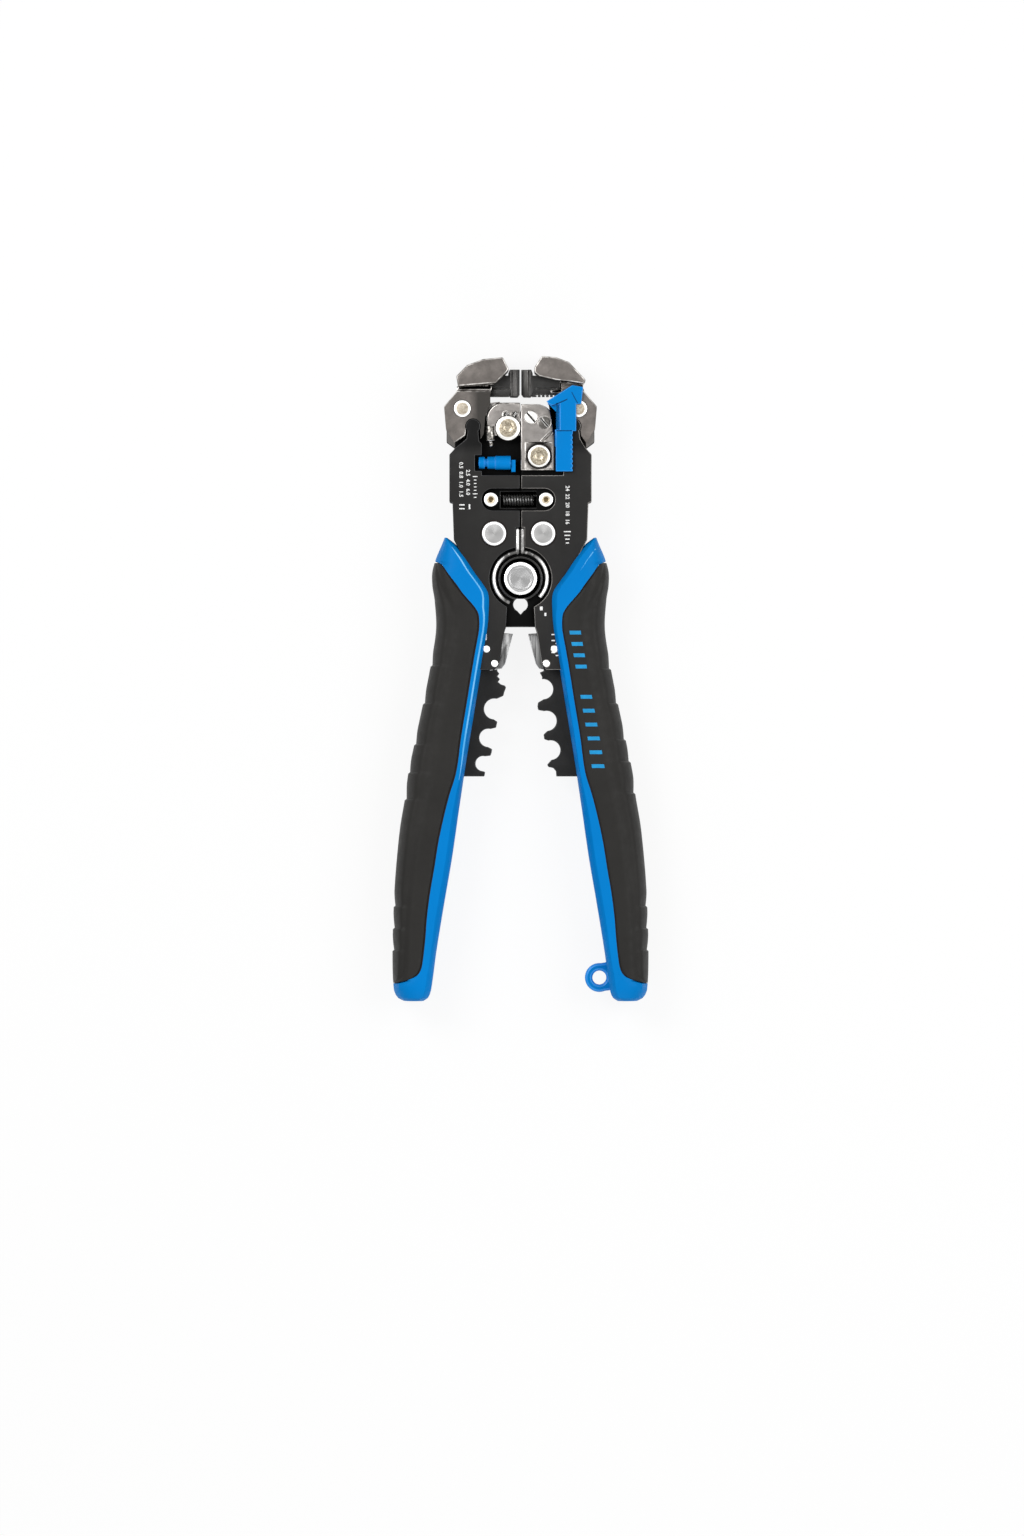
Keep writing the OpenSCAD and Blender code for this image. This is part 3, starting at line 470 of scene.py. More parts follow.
def soft_grip():
    f = Finish("soft_grip", settings().grip_color, 0.55, 0.0, Specular_IOR_Level=0.17,
               Sheen_Weight=0.05, Sheen_Roughness=0.5)
    f.vary_color(f.noise(14, 4), [1.35 * c for c in settings().grip_color])
    f.vary_roughness(f.noise(2.2, 5), 0.06)
    f.bump(f.noise(0.24, 3, 0.6), 0.035)
    return f.bump(f.noise(1.7, 4), 0.02).material


def white_print():
    f = Finish("white_print", settings().print_color, 0.6, 0.0, Specular_IOR_Level=0.2)
    f.vary_color(f.noise(0.35, 4), [0.6 * c for c in settings().print_color], 0.5, 0.7)
    return f.material


def grip_mark():
    f = Finish("grip_mark", settings().mark_color, 0.5, 0.0, Specular_IOR_Level=0.2)
    f.vary_color(f.noise(1.2, 4), [0.8 * c for c in settings().mark_color])
    return f.material


@functools.cache
def finish(maker):
    """The material of one finish, made once."""
    return maker()


# Modelling helpers


# Sharpest angle between two faces that still counts as smooth
SHARP = math.radians(28)
# Material slot of a piece's face and of its broken edges
FACE_SLOT, EDGE_SLOT = 0, 1


def deselect():
    """Leaves edit mode and selects nothing."""
    if bpy.context.mode != "OBJECT":
        bpy.ops.object.mode_set(mode="OBJECT")
    bpy.ops.object.select_all(action="DESELECT")


def select_only(piece):
    """Makes a piece the one that the operators work on."""
    deselect()
    piece.select_set(True)
    bpy.context.view_layer.objects.active = piece


def in_edit(piece, *steps):
    """Runs edit-mode steps on everything in a piece."""
    select_only(piece)
    bpy.ops.object.mode_set(mode="EDIT")
    bpy.ops.mesh.select_mode(type="VERT")
    bpy.ops.mesh.select_all(action="SELECT")
    for step in steps:
        step()
    bpy.ops.object.mode_set(mode="OBJECT")


def bevel_edges(piece, width, segments):
    """Breaks every sharp edge and gives the new faces the edges' finish."""
    select_only(piece)
    modifier = piece.modifiers.new("edge", "BEVEL")
    modifier.width = width
    modifier.segments = segments
    modifier.limit_method = "ANGLE"
    modifier.angle_limit = SHARP
    modifier.use_clamp_overlap = False
    modifier.material = EDGE_SLOT
    bpy.ops.object.modifier_apply(modifier=modifier.name)


def above(height):
    """A test for places that lie farther than a height from the middle plane, front or back."""
    return lambda x, y, z: abs(z) > height


def bevel_where(piece, chosen, width, segments=3):
    """Breaks only the sharp edges whose two ends are chosen by their place."""
    in_edit(piece, lambda: bpy.ops.mesh.select_all(action="DESELECT"),
            lambda: bpy.ops.mesh.select_mode(type="EDGE"),
            lambda: bpy.ops.mesh.edges_select_sharp(sharpness=SHARP))
    for edge in piece.data.edges:
        ends = [(piece.data.vertices[v].co - PIVOT) / MM for v in edge.vertices]
        edge.select = edge.select and all(chosen(*end) for end in ends)
    select_only(piece)
    bpy.ops.object.mode_set(mode="EDIT")
    bpy.ops.mesh.bevel(offset=width, segments=segments, affect="EDGES", material=EDGE_SLOT)
    bpy.ops.object.mode_set(mode="OBJECT")


def thicken(piece, thickness):
    """Gives a flat sheet a closed thickness."""
    select_only(piece)
    modifier = piece.modifiers.new("thickness", "SOLIDIFY")
    modifier.thickness = thickness
    modifier.offset = 1
    bpy.ops.object.modifier_apply(modifier=modifier.name)


def joined(pieces, name):
    """One piece made of several."""
    deselect()
    for piece in pieces:
        piece.select_set(True)
    bpy.context.view_layer.objects.active = pieces[0]
    bpy.ops.object.join()
    pieces[0].name = name
    return pieces[0]


def centre_map(piece, centres):
    """Stores each corner's offset from its nearest disc's middle, in millimetres, as a UV map."""
    layer = piece.data.uv_layers.new(name="centre")
    for loop in piece.data.loops:
        place = (piece.data.vertices[loop.vertex_index].co - PIVOT) / MM
        x, y = min(centres, key=lambda c: math.hypot(place.x - c[0], place.y - c[1]))
        layer.data[loop.index].uv = (place.x - x, place.y - y)


def settle(piece, body, replaced=(), smooth=35, stretches=None):
    """Puts the place into the mesh, smooths the piece and hands it to its body; given stretches, it
    gives the piece to no body.
    """
    select_only(piece)
    bpy.ops.object.transform_apply(location=True, rotation=True, scale=True)
    bpy.ops.object.shade_smooth_by_angle(angle=math.radians(smooth))
    if stretches:
        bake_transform(piece)
    else:
        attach(piece, body)
    if replaced:
        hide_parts(*replaced)
    return piece


def body_of(node):
    """The moving body that a node belongs to."""
    for body, members in frame["record"]["behaviour"]["bodies"].items():
        if node in members:
            return body
    raise ValueError("no body holds " + node)


def machined(node, face, edge, width, segments=2, rims=(), centres=None, stretches=None):
    """A copy of a solid with its loose faces joined and its edges broken, as machining leaves them.

    The face and edge finishes are given by their makers. Rims are pairs of a test for places and a
    width, for edges that are broken on their own. Centres are the middles of turned discs.
    """
    piece = bpy.data.objects.new(node + "_made", frame["nodes"][node].data.copy())
    bpy.context.scene.collection.objects.link(piece)
    in_edit(piece, lambda: bpy.ops.mesh.remove_doubles(threshold=0.002 * MM),
            lambda: bpy.ops.mesh.dissolve_limited(angle_limit=math.radians(0.6)))
    piece.data.materials.clear()
    piece.data.materials.append(finish(face))
    piece.data.materials.append(finish(edge))
    for polygon in piece.data.polygons:
        polygon.material_index = FACE_SLOT
    for chosen, rim_width in rims:
        bevel_where(piece, chosen, rim_width)
    if width:
        bevel_edges(piece, width, segments)
    if centres:
        centre_map(piece, centres)
    return settle(piece, body_of(node), (node,), stretches=stretches)


# Handles

# Edges of the left handle as (along, across) places, and of its dark grip
OUTER_EDGE = [
    (-134.3, -37.2), (-133.4, -39), (-131, -40.4), (-118.7, -40.9), (-107, -40.6), (-99.6, -40.3),
    (-90, -39.6), (-78.6, -38.4), (-69.1, -36.8), (-61.4, -35.8), (-52.5, -33.9), (-43.6, -32),
    (-34.7, -30.1), (-24.5, -28.2), (-15.6, -27), (-6.7, -27.5), (-2.2, -28.2), (2.2, -28.2),
    (6.7, -26.9), (11, -25), (13, -24.2)]
INNER_EDGE = [
    (-134.3, -31), (-133.4, -29.6), (-131, -28.6), (-118.7, -26.9), (-103.4, -24.4), (-88.2, -21.8),
    (-72.9, -19.6), (-57.6, -17.3), (-42.3, -14.8), (-27.1, -12.3), (-15.6, -10.3), (-7.8, -9.7),
    (-4.5, -10), (-2.2, -11.3), (2.2, -14.5), (6.7, -17.3), (11, -20.8), (13, -23.4)]
GRIP_EDGE = [
    (-128.5, -39.2), (-128.2, -38.2), (-127.6, -35.7), (-126.4, -33.2), (-124.6, -31.9),
    (-122.5, -31.3), (-114.9, -30.4), (-107.3, -29.8), (-99.6, -28.8),
    (-92, -27.5), (-84.4, -26.3), (-76.7, -24.7), (-69.1, -22.8), (-61.4, -20.5), (-50, -18.9),
    (-38.5, -17), (-30.9, -15.8), (-23.2, -14.5), (-17.8, -13.5), (-15.6, -13.2), (-13.4, -13.2),
    (-11.1, -13.5), (-8.9, -14.8), (-6.7, -16.7), (-4.5, -18.6), (-2.2, -20.2), (0, -21.8),
    (2.2, -23.4), (4.5, -25), (5, -26.2), (5.4, -27.3)]
FACE_DROP = [(-134.3, 2.6), (-133.4, 1.2), (-131, 0.2), (-129, 0), (2, 0), (6.7, 0.4), (11, 1.2),
             (13, 2.2)]
GRIP_TOP, GRIP_FOOT = 5.0, GRIP_EDGE[0][0]
# How far the outer side's rounding reaches inwards, and how square it is
ROUND_DEPTH, ROUNDNESS = 8.0, 2.5
# The skin ends this share of the rounding inside the outline
SKIN_INSET = 0.02
# Places of the shell's sections at both of its ends, where it rounds off
SHELL_FOOT, SHELL_TOP = [-134.3, -134, -133.4, -132.4], [12.6, 13]
# Ridge and hollow along the grip's face: height, place as a share of the width, and breadth
RIDGE, HOLLOW = (0.3, 0.22, 0.07), (0.45, 0.4, 0.1)
# Gap between grip and shell, and the groove in the grip beside it
GRIP_GAP, GROOVE_DEPTH, GROOVE_WIDTH = 0.2, 0.45, 0.6
# Painted highlight line on each shell's crease: ends, distance from the crease, and width
CREASE_HIGHLIGHTS = [(-64, 10, 0, 0.5), (2.5, 10.5, 2.4, 0.8)]
# Bars on the right grip: groups as (highest bar, number, pitch), and the rows and shares of the
# grip's face that one bar covers
MARK_GROUPS = [(-16.6, 4, 3.6), (-37, 6, 4.4)]
MARK_ROWS, MARK_SHARES = (0, 0.6, 1.2), (0.58, 0.67, 0.76, 0.85)
# Anti-slip steps down the outer side of the left and of the right grip: a lip, then a run-out
STEP_LIP, STEP_RUN = 0.5, 5
GRIP_STEPS = [[-27.5, -39.5, -52.5, -61.5, -70, -104, -111, -118],
              [-28.5, -39.5, -51, -58, -68, -104, -111, -118]]


def along(table, y):
    """Value of a table at y, on a smooth curve through its places."""
    last = len(table) - 1
    if y <= table[0][0]:
        return table[0][1]
    if y >= table[last][0]:
        return table[last][1]
    k = max(i for i in range(last) if table[i][0] <= y)

    def slope(i):
        a, b = table[max(i - 1, 0)], table[min(i + 1, last)]
        return (b[1] - a[1]) / (b[0] - a[0])
    (y0, v0), (y1, v1) = table[k], table[k + 1]
    span, t = y1 - y0, (y - y0) / (y1 - y0)
    return ((2 * t ** 3 - 3 * t ** 2 + 1) * v0 + (t ** 3 - 2 * t ** 2 + t) * span * slope(k)
            + (3 * t ** 2 - 2 * t ** 3) * v1 + (t ** 3 - t ** 2) * span * slope(k + 1))


def round_depth(y):
    """How far the rounding reaches inwards at a place along the handle."""
    return min(ROUND_DEPTH, 0.7 * (along(INNER_EDGE, y) - along(OUTER_EDGE, y)))


def half_depth(y):
    """Half of the handle's thickness at a place along it."""
    return HALF_DEPTH - max(0.0, along(FACE_DROP, y))


def face_height(x, y):
    """Half thickness of the handle at a place, rounded off towards its outer side."""
    drop = max(0.0, 1 - (x - along(OUTER_EDGE, y)) / round_depth(y))
    return half_depth(y) * (1 - min(1.0, drop) ** ROUNDNESS) ** (1 / ROUNDNESS)


def lofted(name, sections, side):
    """A closed skin over sections of (x, y, z) places of the left handle, mirrored for side 1."""
    rings, across = len(sections), len(sections[0])
    deselect()
    bpy.ops.mesh.primitive_grid_add(x_subdivisions=across, y_subdivisions=rings - 1, size=1)
    piece = bpy.context.active_object
    piece.name = name
    flip = -1 if side else 1
    for j, section in enumerate(sections):
        for i in range(across + 1):
            x, y, z = section[i % across]
            piece.data.vertices[j * (across + 1) + i].co = at(flip * x, y, z)
    in_edit(piece, lambda: bpy.ops.mesh.remove_doubles(threshold=0.001 * MM),
            lambda: bpy.ops.mesh.select_all(action="DESELECT"),
            lambda: bpy.ops.mesh.select_mode(type="EDGE"),
            lambda: bpy.ops.mesh.select_non_manifold(),
            lambda: bpy.ops.mesh.edge_face_add(),
            lambda: bpy.ops.mesh.select_all(action="SELECT"),
            lambda: bpy.ops.mesh.normals_make_consistent(inside=False))
    return piece


def stations(low, high, step):
    """Evenly spread places from low to high, about a step apart."""
    count = max(2, round((high - low) / step))
    return [low + (high - low) * k / count for k in range(count + 1)]


def shell_cut(y):
    """Where the shell's face ends: at the grip beside it, or at the outer side."""
    edge = along(OUTER_EDGE, y) + SKIN_INSET * round_depth(y)
    beside_grip = GRIP_FOOT <= y <= GRIP_EDGE[-1][0]
    return max(edge, along(GRIP_EDGE, y)) if beside_grip else edge


def shell_bevel(y):
    """Width of the sloping bevel along the shell's inner side."""
    return min(1.9, 0.42 * (along(INNER_EDGE, y) - shell_cut(y)))


def shell_section(y):
    """Blue shell: a flat face, a crease, a sloping bevel and the inner wall."""
    inner = along(INNER_EDGE, y)
    cut = shell_cut(y)
    bevel = shell_bevel(y)
    half = half_depth(y)
    wall = half - min(2.6, 0.5 * half)
    crease = inner - bevel
    places = [crease - (crease - cut) * k / 6 for k in range(7)]
    face = [(x, y, face_height(x, y)) for x in places]
    side = [(inner, y, wall), (inner - 0.45 * bevel, y, wall + 0.62 * (half - wall)),
            (crease + 0.14, y, half - 0.1)]
    return ([(inner + 0.12, y, 0.5 * wall)] + side + face
            + [(x, y, -z) for x, _, z in reversed(face)]
            + [(x, y, -z) for x, _, z in reversed(side)]
            + [(inner + 0.12, y, -0.5 * wall)])


def step_depth(y, side):
    """Depth of the anti-slip steps in the grip's outer side, each a notch with a slow run-out."""
    full = settings().notch_depth / MM
    depth = 0.0
    for place in GRIP_STEPS[side]:
        run = y - place
        if -STEP_LIP <= run < 0:
            depth = max(depth, full * (1 + run / STEP_LIP))
        elif 0 <= run < STEP_RUN:
            depth = max(depth, full * (1 - run / STEP_RUN) ** 1.5)
    return depth


def swell(share, form):
    """Height of a rounded form at a share of the grip's width."""
    height, place, breadth = form
    return height * math.exp(-((share - place) / breadth) ** 2)


def grip_face(share, y, side):
    """Place on the grip's face at a share of its width: crowned, hollowed and stepped."""
    inner = along(GRIP_EDGE, y) - GRIP_GAP
    outer = along(OUTER_EDGE, y)
    edge = outer + SKIN_INSET * round_depth(y)
    x = edge + (inner - edge) * share
    # where the grip narrows, its forms fade out
    fade = min(1.0, (inner - outer) / 8)
    seam = GROOVE_DEPTH * max(0.0, 1 - (inner - x) / GROOVE_WIDTH) ** 2
    notch = step_depth(y, side) * max(0.0, 1 - share / 0.5)
    sunk = swell(share, HOLLOW) - swell(share, RIDGE) + 0.6 * notch
    z = face_height(x, y) - sunk * fade - seam
    return x + 0.9 * notch, y, min(z, HALF_DEPTH)


def grip_section(y, side):
    """Dark grip: its face from the shell to the outer side, and the same behind."""
    count = 20
    face = [grip_face((1 - k / count) ** 1.7, y, side) for k in range(count + 1)]
    return face + [(x, y, -z) for x, _, z in reversed(face)]


def handle_shell(side):
    name = SIDES[side]
    places = SHELL_FOOT + stations(-131, 12.2, 1.1) + SHELL_TOP
    shell = lofted(name + "_handle_shell", [shell_section(y) for y in places], side)
    shell.data.materials.append(finish(blue_plastic))
    settle(shell, name + "_lever", (name + "_shell",), smooth=24)


def handle_grip(side):
    name = SIDES[side]
    grip = lofted(name + "_handle_grip",
                  [grip_section(y, side) for y in stations(GRIP_FOOT, GRIP_TOP, 0.5)], side)
    grip.data.materials.append(finish(soft_grip))
    settle(grip, name + "_lever", (name + "_grip",), smooth=40)


def ribbon(name, places, side, maker, depth_mm):
    """A thin closed strip over rows of places on a handle."""
    rows, across = len(places), len(places[0])
    deselect()
    bpy.ops.mesh.primitive_grid_add(x_subdivisions=across - 1, y_subdivisions=rows - 1, size=1)
    piece = bpy.context.active_object
    piece.name = name
    flip = -1 if side else 1
    for j, row in enumerate(places):
        for i, (x, y, z) in enumerate(row):
            piece.data.vertices[j * across + i].co = at(flip * x, y, z)
    thicken(piece, depth_mm * MM)
    in_edit(piece, lambda: bpy.ops.mesh.normals_make_consistent(inside=False))
    piece.data.materials.append(finish(maker))
    return settle(piece, SIDES[side] + "_lever")


def crease_highlight_line(side):
    """Painted highlight line that follows the crease of a shell."""
    low, high, inset, width = CREASE_HIGHLIGHTS[side]
    rows = []
    for y in stations(low, high, 1.2):
        crease = along(INNER_EDGE, y) - shell_bevel(y) - inset
        fade = min(1.0, (y - low) / 12 + 0.15, (high - y) / 4 + 0.25)
        wide = width * fade
        rows.append([(x, y, face_height(x, y) + rise) for x, rise in
                     ((crease - wide, -0.03), (crease - 0.5 * wide, 0.02), (crease, -0.03))])
    ribbon(SIDES[side] + "_crease", rows, side, crease_highlight_blue, 0.03)


def grip_seam(side):
    """Dark line in the joint between a grip and its shell."""
    rows = []
    for y in stations(-126.4, 4, 1.0):
        x = along(GRIP_EDGE, y)
        z = face_height(x - 0.2, y)
        rows.append([(x - 0.35, y, z - 0.2), (x - 0.05, y, z + 0.01), (x + 0.18, y, z - 0.05)])
    ribbon(SIDES[side] + "_seam", rows, side, seam_and_shadow_black, 0.04)


def grip_marks():
    """Plain raised bars on the right grip."""
    for group, (top, count, pitch) in enumerate(MARK_GROUPS):
        for k in range(count):
            places = [[grip_face(share, top - pitch * k - low, 1) for share in MARK_SHARES]
                      for low in MARK_ROWS]
            rows = [[(x, y, z + 0.02) for x, y, z in row] for row in places]
            ribbon("grip_mark_%d_%d" % (group, k), rows, 1, grip_mark, 0.06)


# Metal

# Middles of the fasteners, as [left, right], and of the small rivets on the left half
RIVET_AT = [(-8.4, 14.3), (7.2, 14.3)]
POST_AT = [(-9.4, 25.1), (8.1, 25.1)]
JAW_PIN_AT = [(-18.5, 54), (18.5, 54)]
JAW_SCREW_AT = [(-4, 47.8), (5.9, 38.9)]
SMALL_RIVET_AT = [(-10.8, -22.4), (-8.2, -27), (-11.9, -8)]
# Ends of the tension spring's coil
COIL_ENDS = (-6.6, 5.3)
# Painted shade lines on the length stop's front at its folds, as (x, y, width, height, turn in
# degrees)
FOLD_SHADES = [(13.9, 46.9, 5, 0.3, 0), (11.6, 51.6, 0.35, 8.2, 0), (12.4, 55.8, 5.4, 0.35, 24),
         (17.2, 57.4, 4, 0.25, -62)]


def lever_plates():
    for side in SIDES:
        for face in ("front", "back"):
            # the right plates' edges take the painted highlight
            machined(side + "_plate_" + face, blackened_steel,
                     right_plate_edge_highlight if side == "right" else black_edge, settings().plate_bevel)


def carriers():
    for side in SIDES:
        for face in ("front", "back"):
            machined(side + "_cheek_" + face, carrier_steel, black_edge, 0.15 * MM)


def cores():
    for side in SIDES:
        machined(side + "_core", core_steel, black_edge, 0.25 * MM, 3)


def blades():
    for side in SIDES:
        machined(side + "_blade", blade_steel, blade_edge, 0.15 * MM)


def pivot():
    machined("pivot_bolt", bolt_steel, bolt_steel, 0.12 * MM, centres=[(0, 0)])
    machined("pivot_nut", bolt_steel, bolt_steel, 0.25 * MM, centres=[(0, 0)])
    for face in ("front", "back"):
        machined("pivot_washer_" + face, washer_steel, grey_rim, 0.22 * MM)


def rivets():
    for side, name in enumerate(SIDES):
        machined(name + "_plate_rivet", rivet_steel, rivet_steel, 0,
                 rims=[(above(PLATE_TOP + 0.6), settings().rim_bevel)], centres=[RIVET_AT[side]])
        flip = -1 if side else 1
        machined(name + "_small_rivets", small_steel, small_steel, 0.1 * MM,
                 centres=[(flip * x, y) for x, y in SMALL_RIVET_AT])


def jaw_pins_and_posts():
    for side, name in enumerate(SIDES):
        machined(name + "_jaw_pin", pin_steel, pin_steel, 0,
                 rims=[(above(PLATE_TOP), settings().rim_bevel)], centres=[JAW_PIN_AT[side]])
        machined(name + "_spring_post", post_steel, post_steel, 0.12 * MM, centres=[POST_AT[side]])


def screws():
    for side, name in enumerate(SIDES):
        machined(name + "_jaw_screw", screw_steel, screw_steel, 0.12 * MM,
                 centres=[JAW_SCREW_AT[side]])
        machined(name + "_set_screws", small_screw_steel, bright_steel, 0.08 * MM)
    machined("gauge_pin", gauge_pin_steel, bright_steel, 0.1 * MM)


def upper_jaws():
    """Only the hoods' front and back rims are ground; the arms stay as cast."""
    for side in SIDES:
        machined(side + "_upper_jaw", jaw_steel, jaw_edge, 0,
                 rims=[(above(10.2), settings().hood_bevel)])


def lower_jaws():
    machined("left_lower_jaw", clamp_steel, jaw_edge, 0.4 * MM, 3)
    machined("right_lower_jaw", clamp_steel, jaw_edge, 0.25 * MM)


def jaw_pads():
    machined("left_upper_pad", pad_steel, pad_edge, 0.15 * MM)
    machined("right_upper_blade", pad_steel, pad_edge, 0.15 * MM)
    machined("left_lower_pad", pad_steel, pad_edge, 0.1 * MM)
    machined("right_lower_blade", blade_steel, blade_edge, 0.1 * MM)


def blue_trim():
    machined("length_stop", blue_plastic, blue_edge_highlight, 0.25 * MM, 3)
    machined("adjuster_knob", blue_plastic, blue_edge_highlight, 0.2 * MM)
    machined("adjuster_screw", blue_plastic, blue_edge_highlight, 0)
    machined("lanyard_eye", blue_plastic, blue_edge_highlight, 0.8 * MM, 4)


def springs():
    """The tension spring is fixed where it lies, with its coil between the posts, and given to no
    body; the return springs go to their bodies.
    """
    machined("tension_spring", spring_steel, spring_steel, 0,
             stretches=("left_frame", "right_frame", at(COIL_ENDS[0], POST_AT[0][1]),
                        at(COIL_ENDS[1], POST_AT[1][1])))
    for side in SIDES:
        machined(side + "_return_spring", return_wire, return_wire, 0)


def painted_shadow_ring(name, x, y, z, radius, body, slot):
    """A thin dark ring round a fastener's head, as painted shadow."""
    deselect()
    bpy.ops.mesh.primitive_torus_add(
        location=at(x, y, z), major_radius=radius * MM, minor_radius=0.24 * MM,
        major_segments=72, minor_segments=10)
    ring = bpy.context.active_object
    ring.name = name
    ring.data.materials.append(finish(seam_and_shadow_black))
    settle(ring, body)


def top_of(node):
    """Height of a node's front above the middle plane, in millimetres."""
    return (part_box(node)[1].z - PIVOT.z) / MM


def shadow_rings():
    """Painted shadow rings round the large rivets, and round the big screws in the lower jaws."""
    for side, name in enumerate(SIDES):
        painted_shadow_ring(name + "_rivet_shadow_ring", *RIVET_AT[side], PLATE_TOP, 4.05, name + "_lever",
                  "black_steel")
        painted_shadow_ring(name + "_screw_shadow_ring", *JAW_SCREW_AT[side], top_of(name + "_lower_jaw"), 3.85,
                  name + "_frame", "dark_steel")


def stop_fold_shades():
    """Painted shade on the stop's front: dark lines for the step across it and under its head."""
    deselect()
    pieces = []
    for x, y, wide, tall, turn in FOLD_SHADES:
        bpy.ops.mesh.primitive_cube_add(size=1, location=at(x, y, top_of("length_stop")))
        fold = bpy.context.active_object
        fold.scale = (wide * MM, tall * MM, 0.08 * MM)
        fold.rotation_euler = (0, 0, math.radians(turn))
        pieces.append(fold)
    piece = joined(pieces, "stop_fold_shades")
    piece.data.materials.append(finish(fold_shade_blue))
    settle(piece, "stop")


# Printed scale

NUMBER_SIZE = 1.7


def tick(x, y, wide, tall):
    """A printed bar on the plates' front, as a thin block."""
    deselect()
    depth = settings().print_depth / MM
    bpy.ops.mesh.primitive_cube_add(size=1, location=at(x, y, PLATE_TOP + depth / 2))
    bar = bpy.context.active_object
    bar.scale = (wide * MM, tall * MM, depth * MM)
    bpy.ops.object.transform_apply(location=True, rotation=True, scale=True)
    return bar


def numbers(words, x, y):
    """A row of plain numbers printed on the plates' front, read from the right."""
    deselect()
    bpy.ops.object.text_add(location=at(x, y, PLATE_TOP), rotation=(0, 0, -math.pi / 2))
    text = bpy.context.active_object
    text.data.body = words
    text.data.size = NUMBER_SIZE * MM
    text.data.align_x = "LEFT"
    text.data.align_y = "CENTER"
    text.data.resolution_u = 2
    text.data.extrude = settings().print_depth
    text.data.offset = 0.03 * MM
    bpy.ops.object.convert(target="MESH")
    bpy.ops.object.transform_apply(location=True, rotation=True, scale=True)
    return bpy.context.active_object


def printed_scale():
    """Rows of numbers, with ticks beside and under them, and ticks at the cutter and the nests."""
    left = [numbers("0.5  0.8  1.0  1.5", -18.9, 37), numbers("2.5  4.0  6.0", -16.7, 34.6)]
    left += [tick(-14.4, 32.4 - 1.1 * k, 1.5 if k % 5 == 0 else 0.8, 0.28) for k in range(7)]
    left += [tick(-18.6, 23.4, 1.7, 0.4), tick(-18.6, 22.2, 1.7, 0.4), tick(-16.2, 22.8, 0.5, 1.6)]
    left += [tick(-11.4, -17.9, 1.4, 0.5), tick(-11, -18.9, 0.5, 1.4)]
    right = [numbers("24  22  20  18  16", 14.9, 29.5)]
    right += [tick(14.9, 14.9 - 1.2 * k, 2.2 - 0.4 * k, 0.35) for k in range(4)]
    right += [tick(10.4 + 1.3 * (k % 2), -17.8 - 0.95 * k, 1.1, 0.4) for k in range(8)]
    right += [tick(6.6, -9.5, 0.9, 1.2), tick(7.9, -11.4, 0.6, 1)]
    for side, pieces in enumerate((left, right)):
        piece = joined(pieces, SIDES[side] + "_scale")
        piece.data.materials.clear()
        piece.data.materials.append(finish(white_print))
        settle(piece, SIDES[side] + "_lever")


# Stage

# Area lamps as (name, place, width, watts), all aimed at the tool, in metres
LAMPS = [("key", (-0.42, 0.3, 0.75), 0.4, 3.9), ("fill", (0.5, 0.1, 0.65), 0.5, 3.0),
         ("low", (0.05, -0.7, 0.5), 0.5, 1.4)]
# The camera's lens and sensor in millimetres, and its distance in metres
LENS, SENSOR = 300, 36
CAMERA_DISTANCE = 1.834 * LENS / 135
# Just under the tool, so that no face lies in the paper
FLOOR_HEIGHT = -0.0004


def seen_directly(tree):
    """1 for rays that come from the camera, a mirror-like surface or a clear one, else 0."""
    rays = tree.nodes.new("ShaderNodeLightPath")
    value = rays.outputs["Is Camera Ray"]
    for name in ("Is Glossy Ray", "Is Transmission Ray"):
        either = tree.nodes.new("ShaderNodeMath")
        either.operation = "MAXIMUM"
        tree.links.new(value, either.inputs[0])
        tree.links.new(rays.outputs[name], either.inputs[1])
        value = either.outputs[0]
    return value


def floor():
    """White paper that looks evenly lit, and still takes a soft shadow."""
    deselect()
    bpy.ops.mesh.primitive_plane_add(size=6, location=(0, 0, FLOOR_HEIGHT))
    piece = bpy.context.active_object
    piece.name = "floor"
    paper = Finish("white_paper", (0.86, 0.86, 0.86), 0.9)
    paper.vary_color(paper.noise(900, 2), (0.84, 0.84, 0.84))
    glow = paper.add("ShaderNodeEmission")
    glow.inputs["Strength"].default_value = 1.0
    share = paper.add("ShaderNodeMath", operation="MULTIPLY")
    share.inputs[1].default_value = 0.88
    paper.link(seen_directly(paper.tree), share.inputs[0])
    mix = paper.add("ShaderNodeMixShader")
    paper.link(share.outputs[0], mix.inputs[0])
    paper.link(paper.shader.outputs[0], mix.inputs[1])
    paper.link(glow.outputs[0], mix.inputs[2])
    paper.link(mix.outputs[0], paper.output.inputs["Surface"])
    piece.data.materials.append(paper.material)


def studio_light():
    """A white room, dimmer for the light it gives than it looks, and three soft lamps."""
    world = bpy.data.worlds.new("studio")
    bpy.context.scene.world = world
    world.use_nodes = True
    tree = world.node_tree
    background = tree.nodes["Background"]
    background.inputs["Color"].default_value = (1, 1, 1, 1)
    level = tree.nodes.new("ShaderNodeMapRange")
    level.inputs["To Min"].default_value = 0.4
    level.inputs["To Max"].default_value = 1.0
    tree.links.new(seen_directly(tree), level.inputs["Value"])
    tree.links.new(level.outputs[0], background.inputs["Strength"])
    for name, place, size, watts in LAMPS:
        deselect()
        bpy.ops.object.light_add(type="AREA", location=place)
        lamp = bpy.context.active_object
        lamp.name = name + "_light"
        lamp.data.energy = watts
        lamp.data.size = size
        lamp.rotation_euler = (-Vector(place)).to_track_quat("-Z", "Y").to_euler()


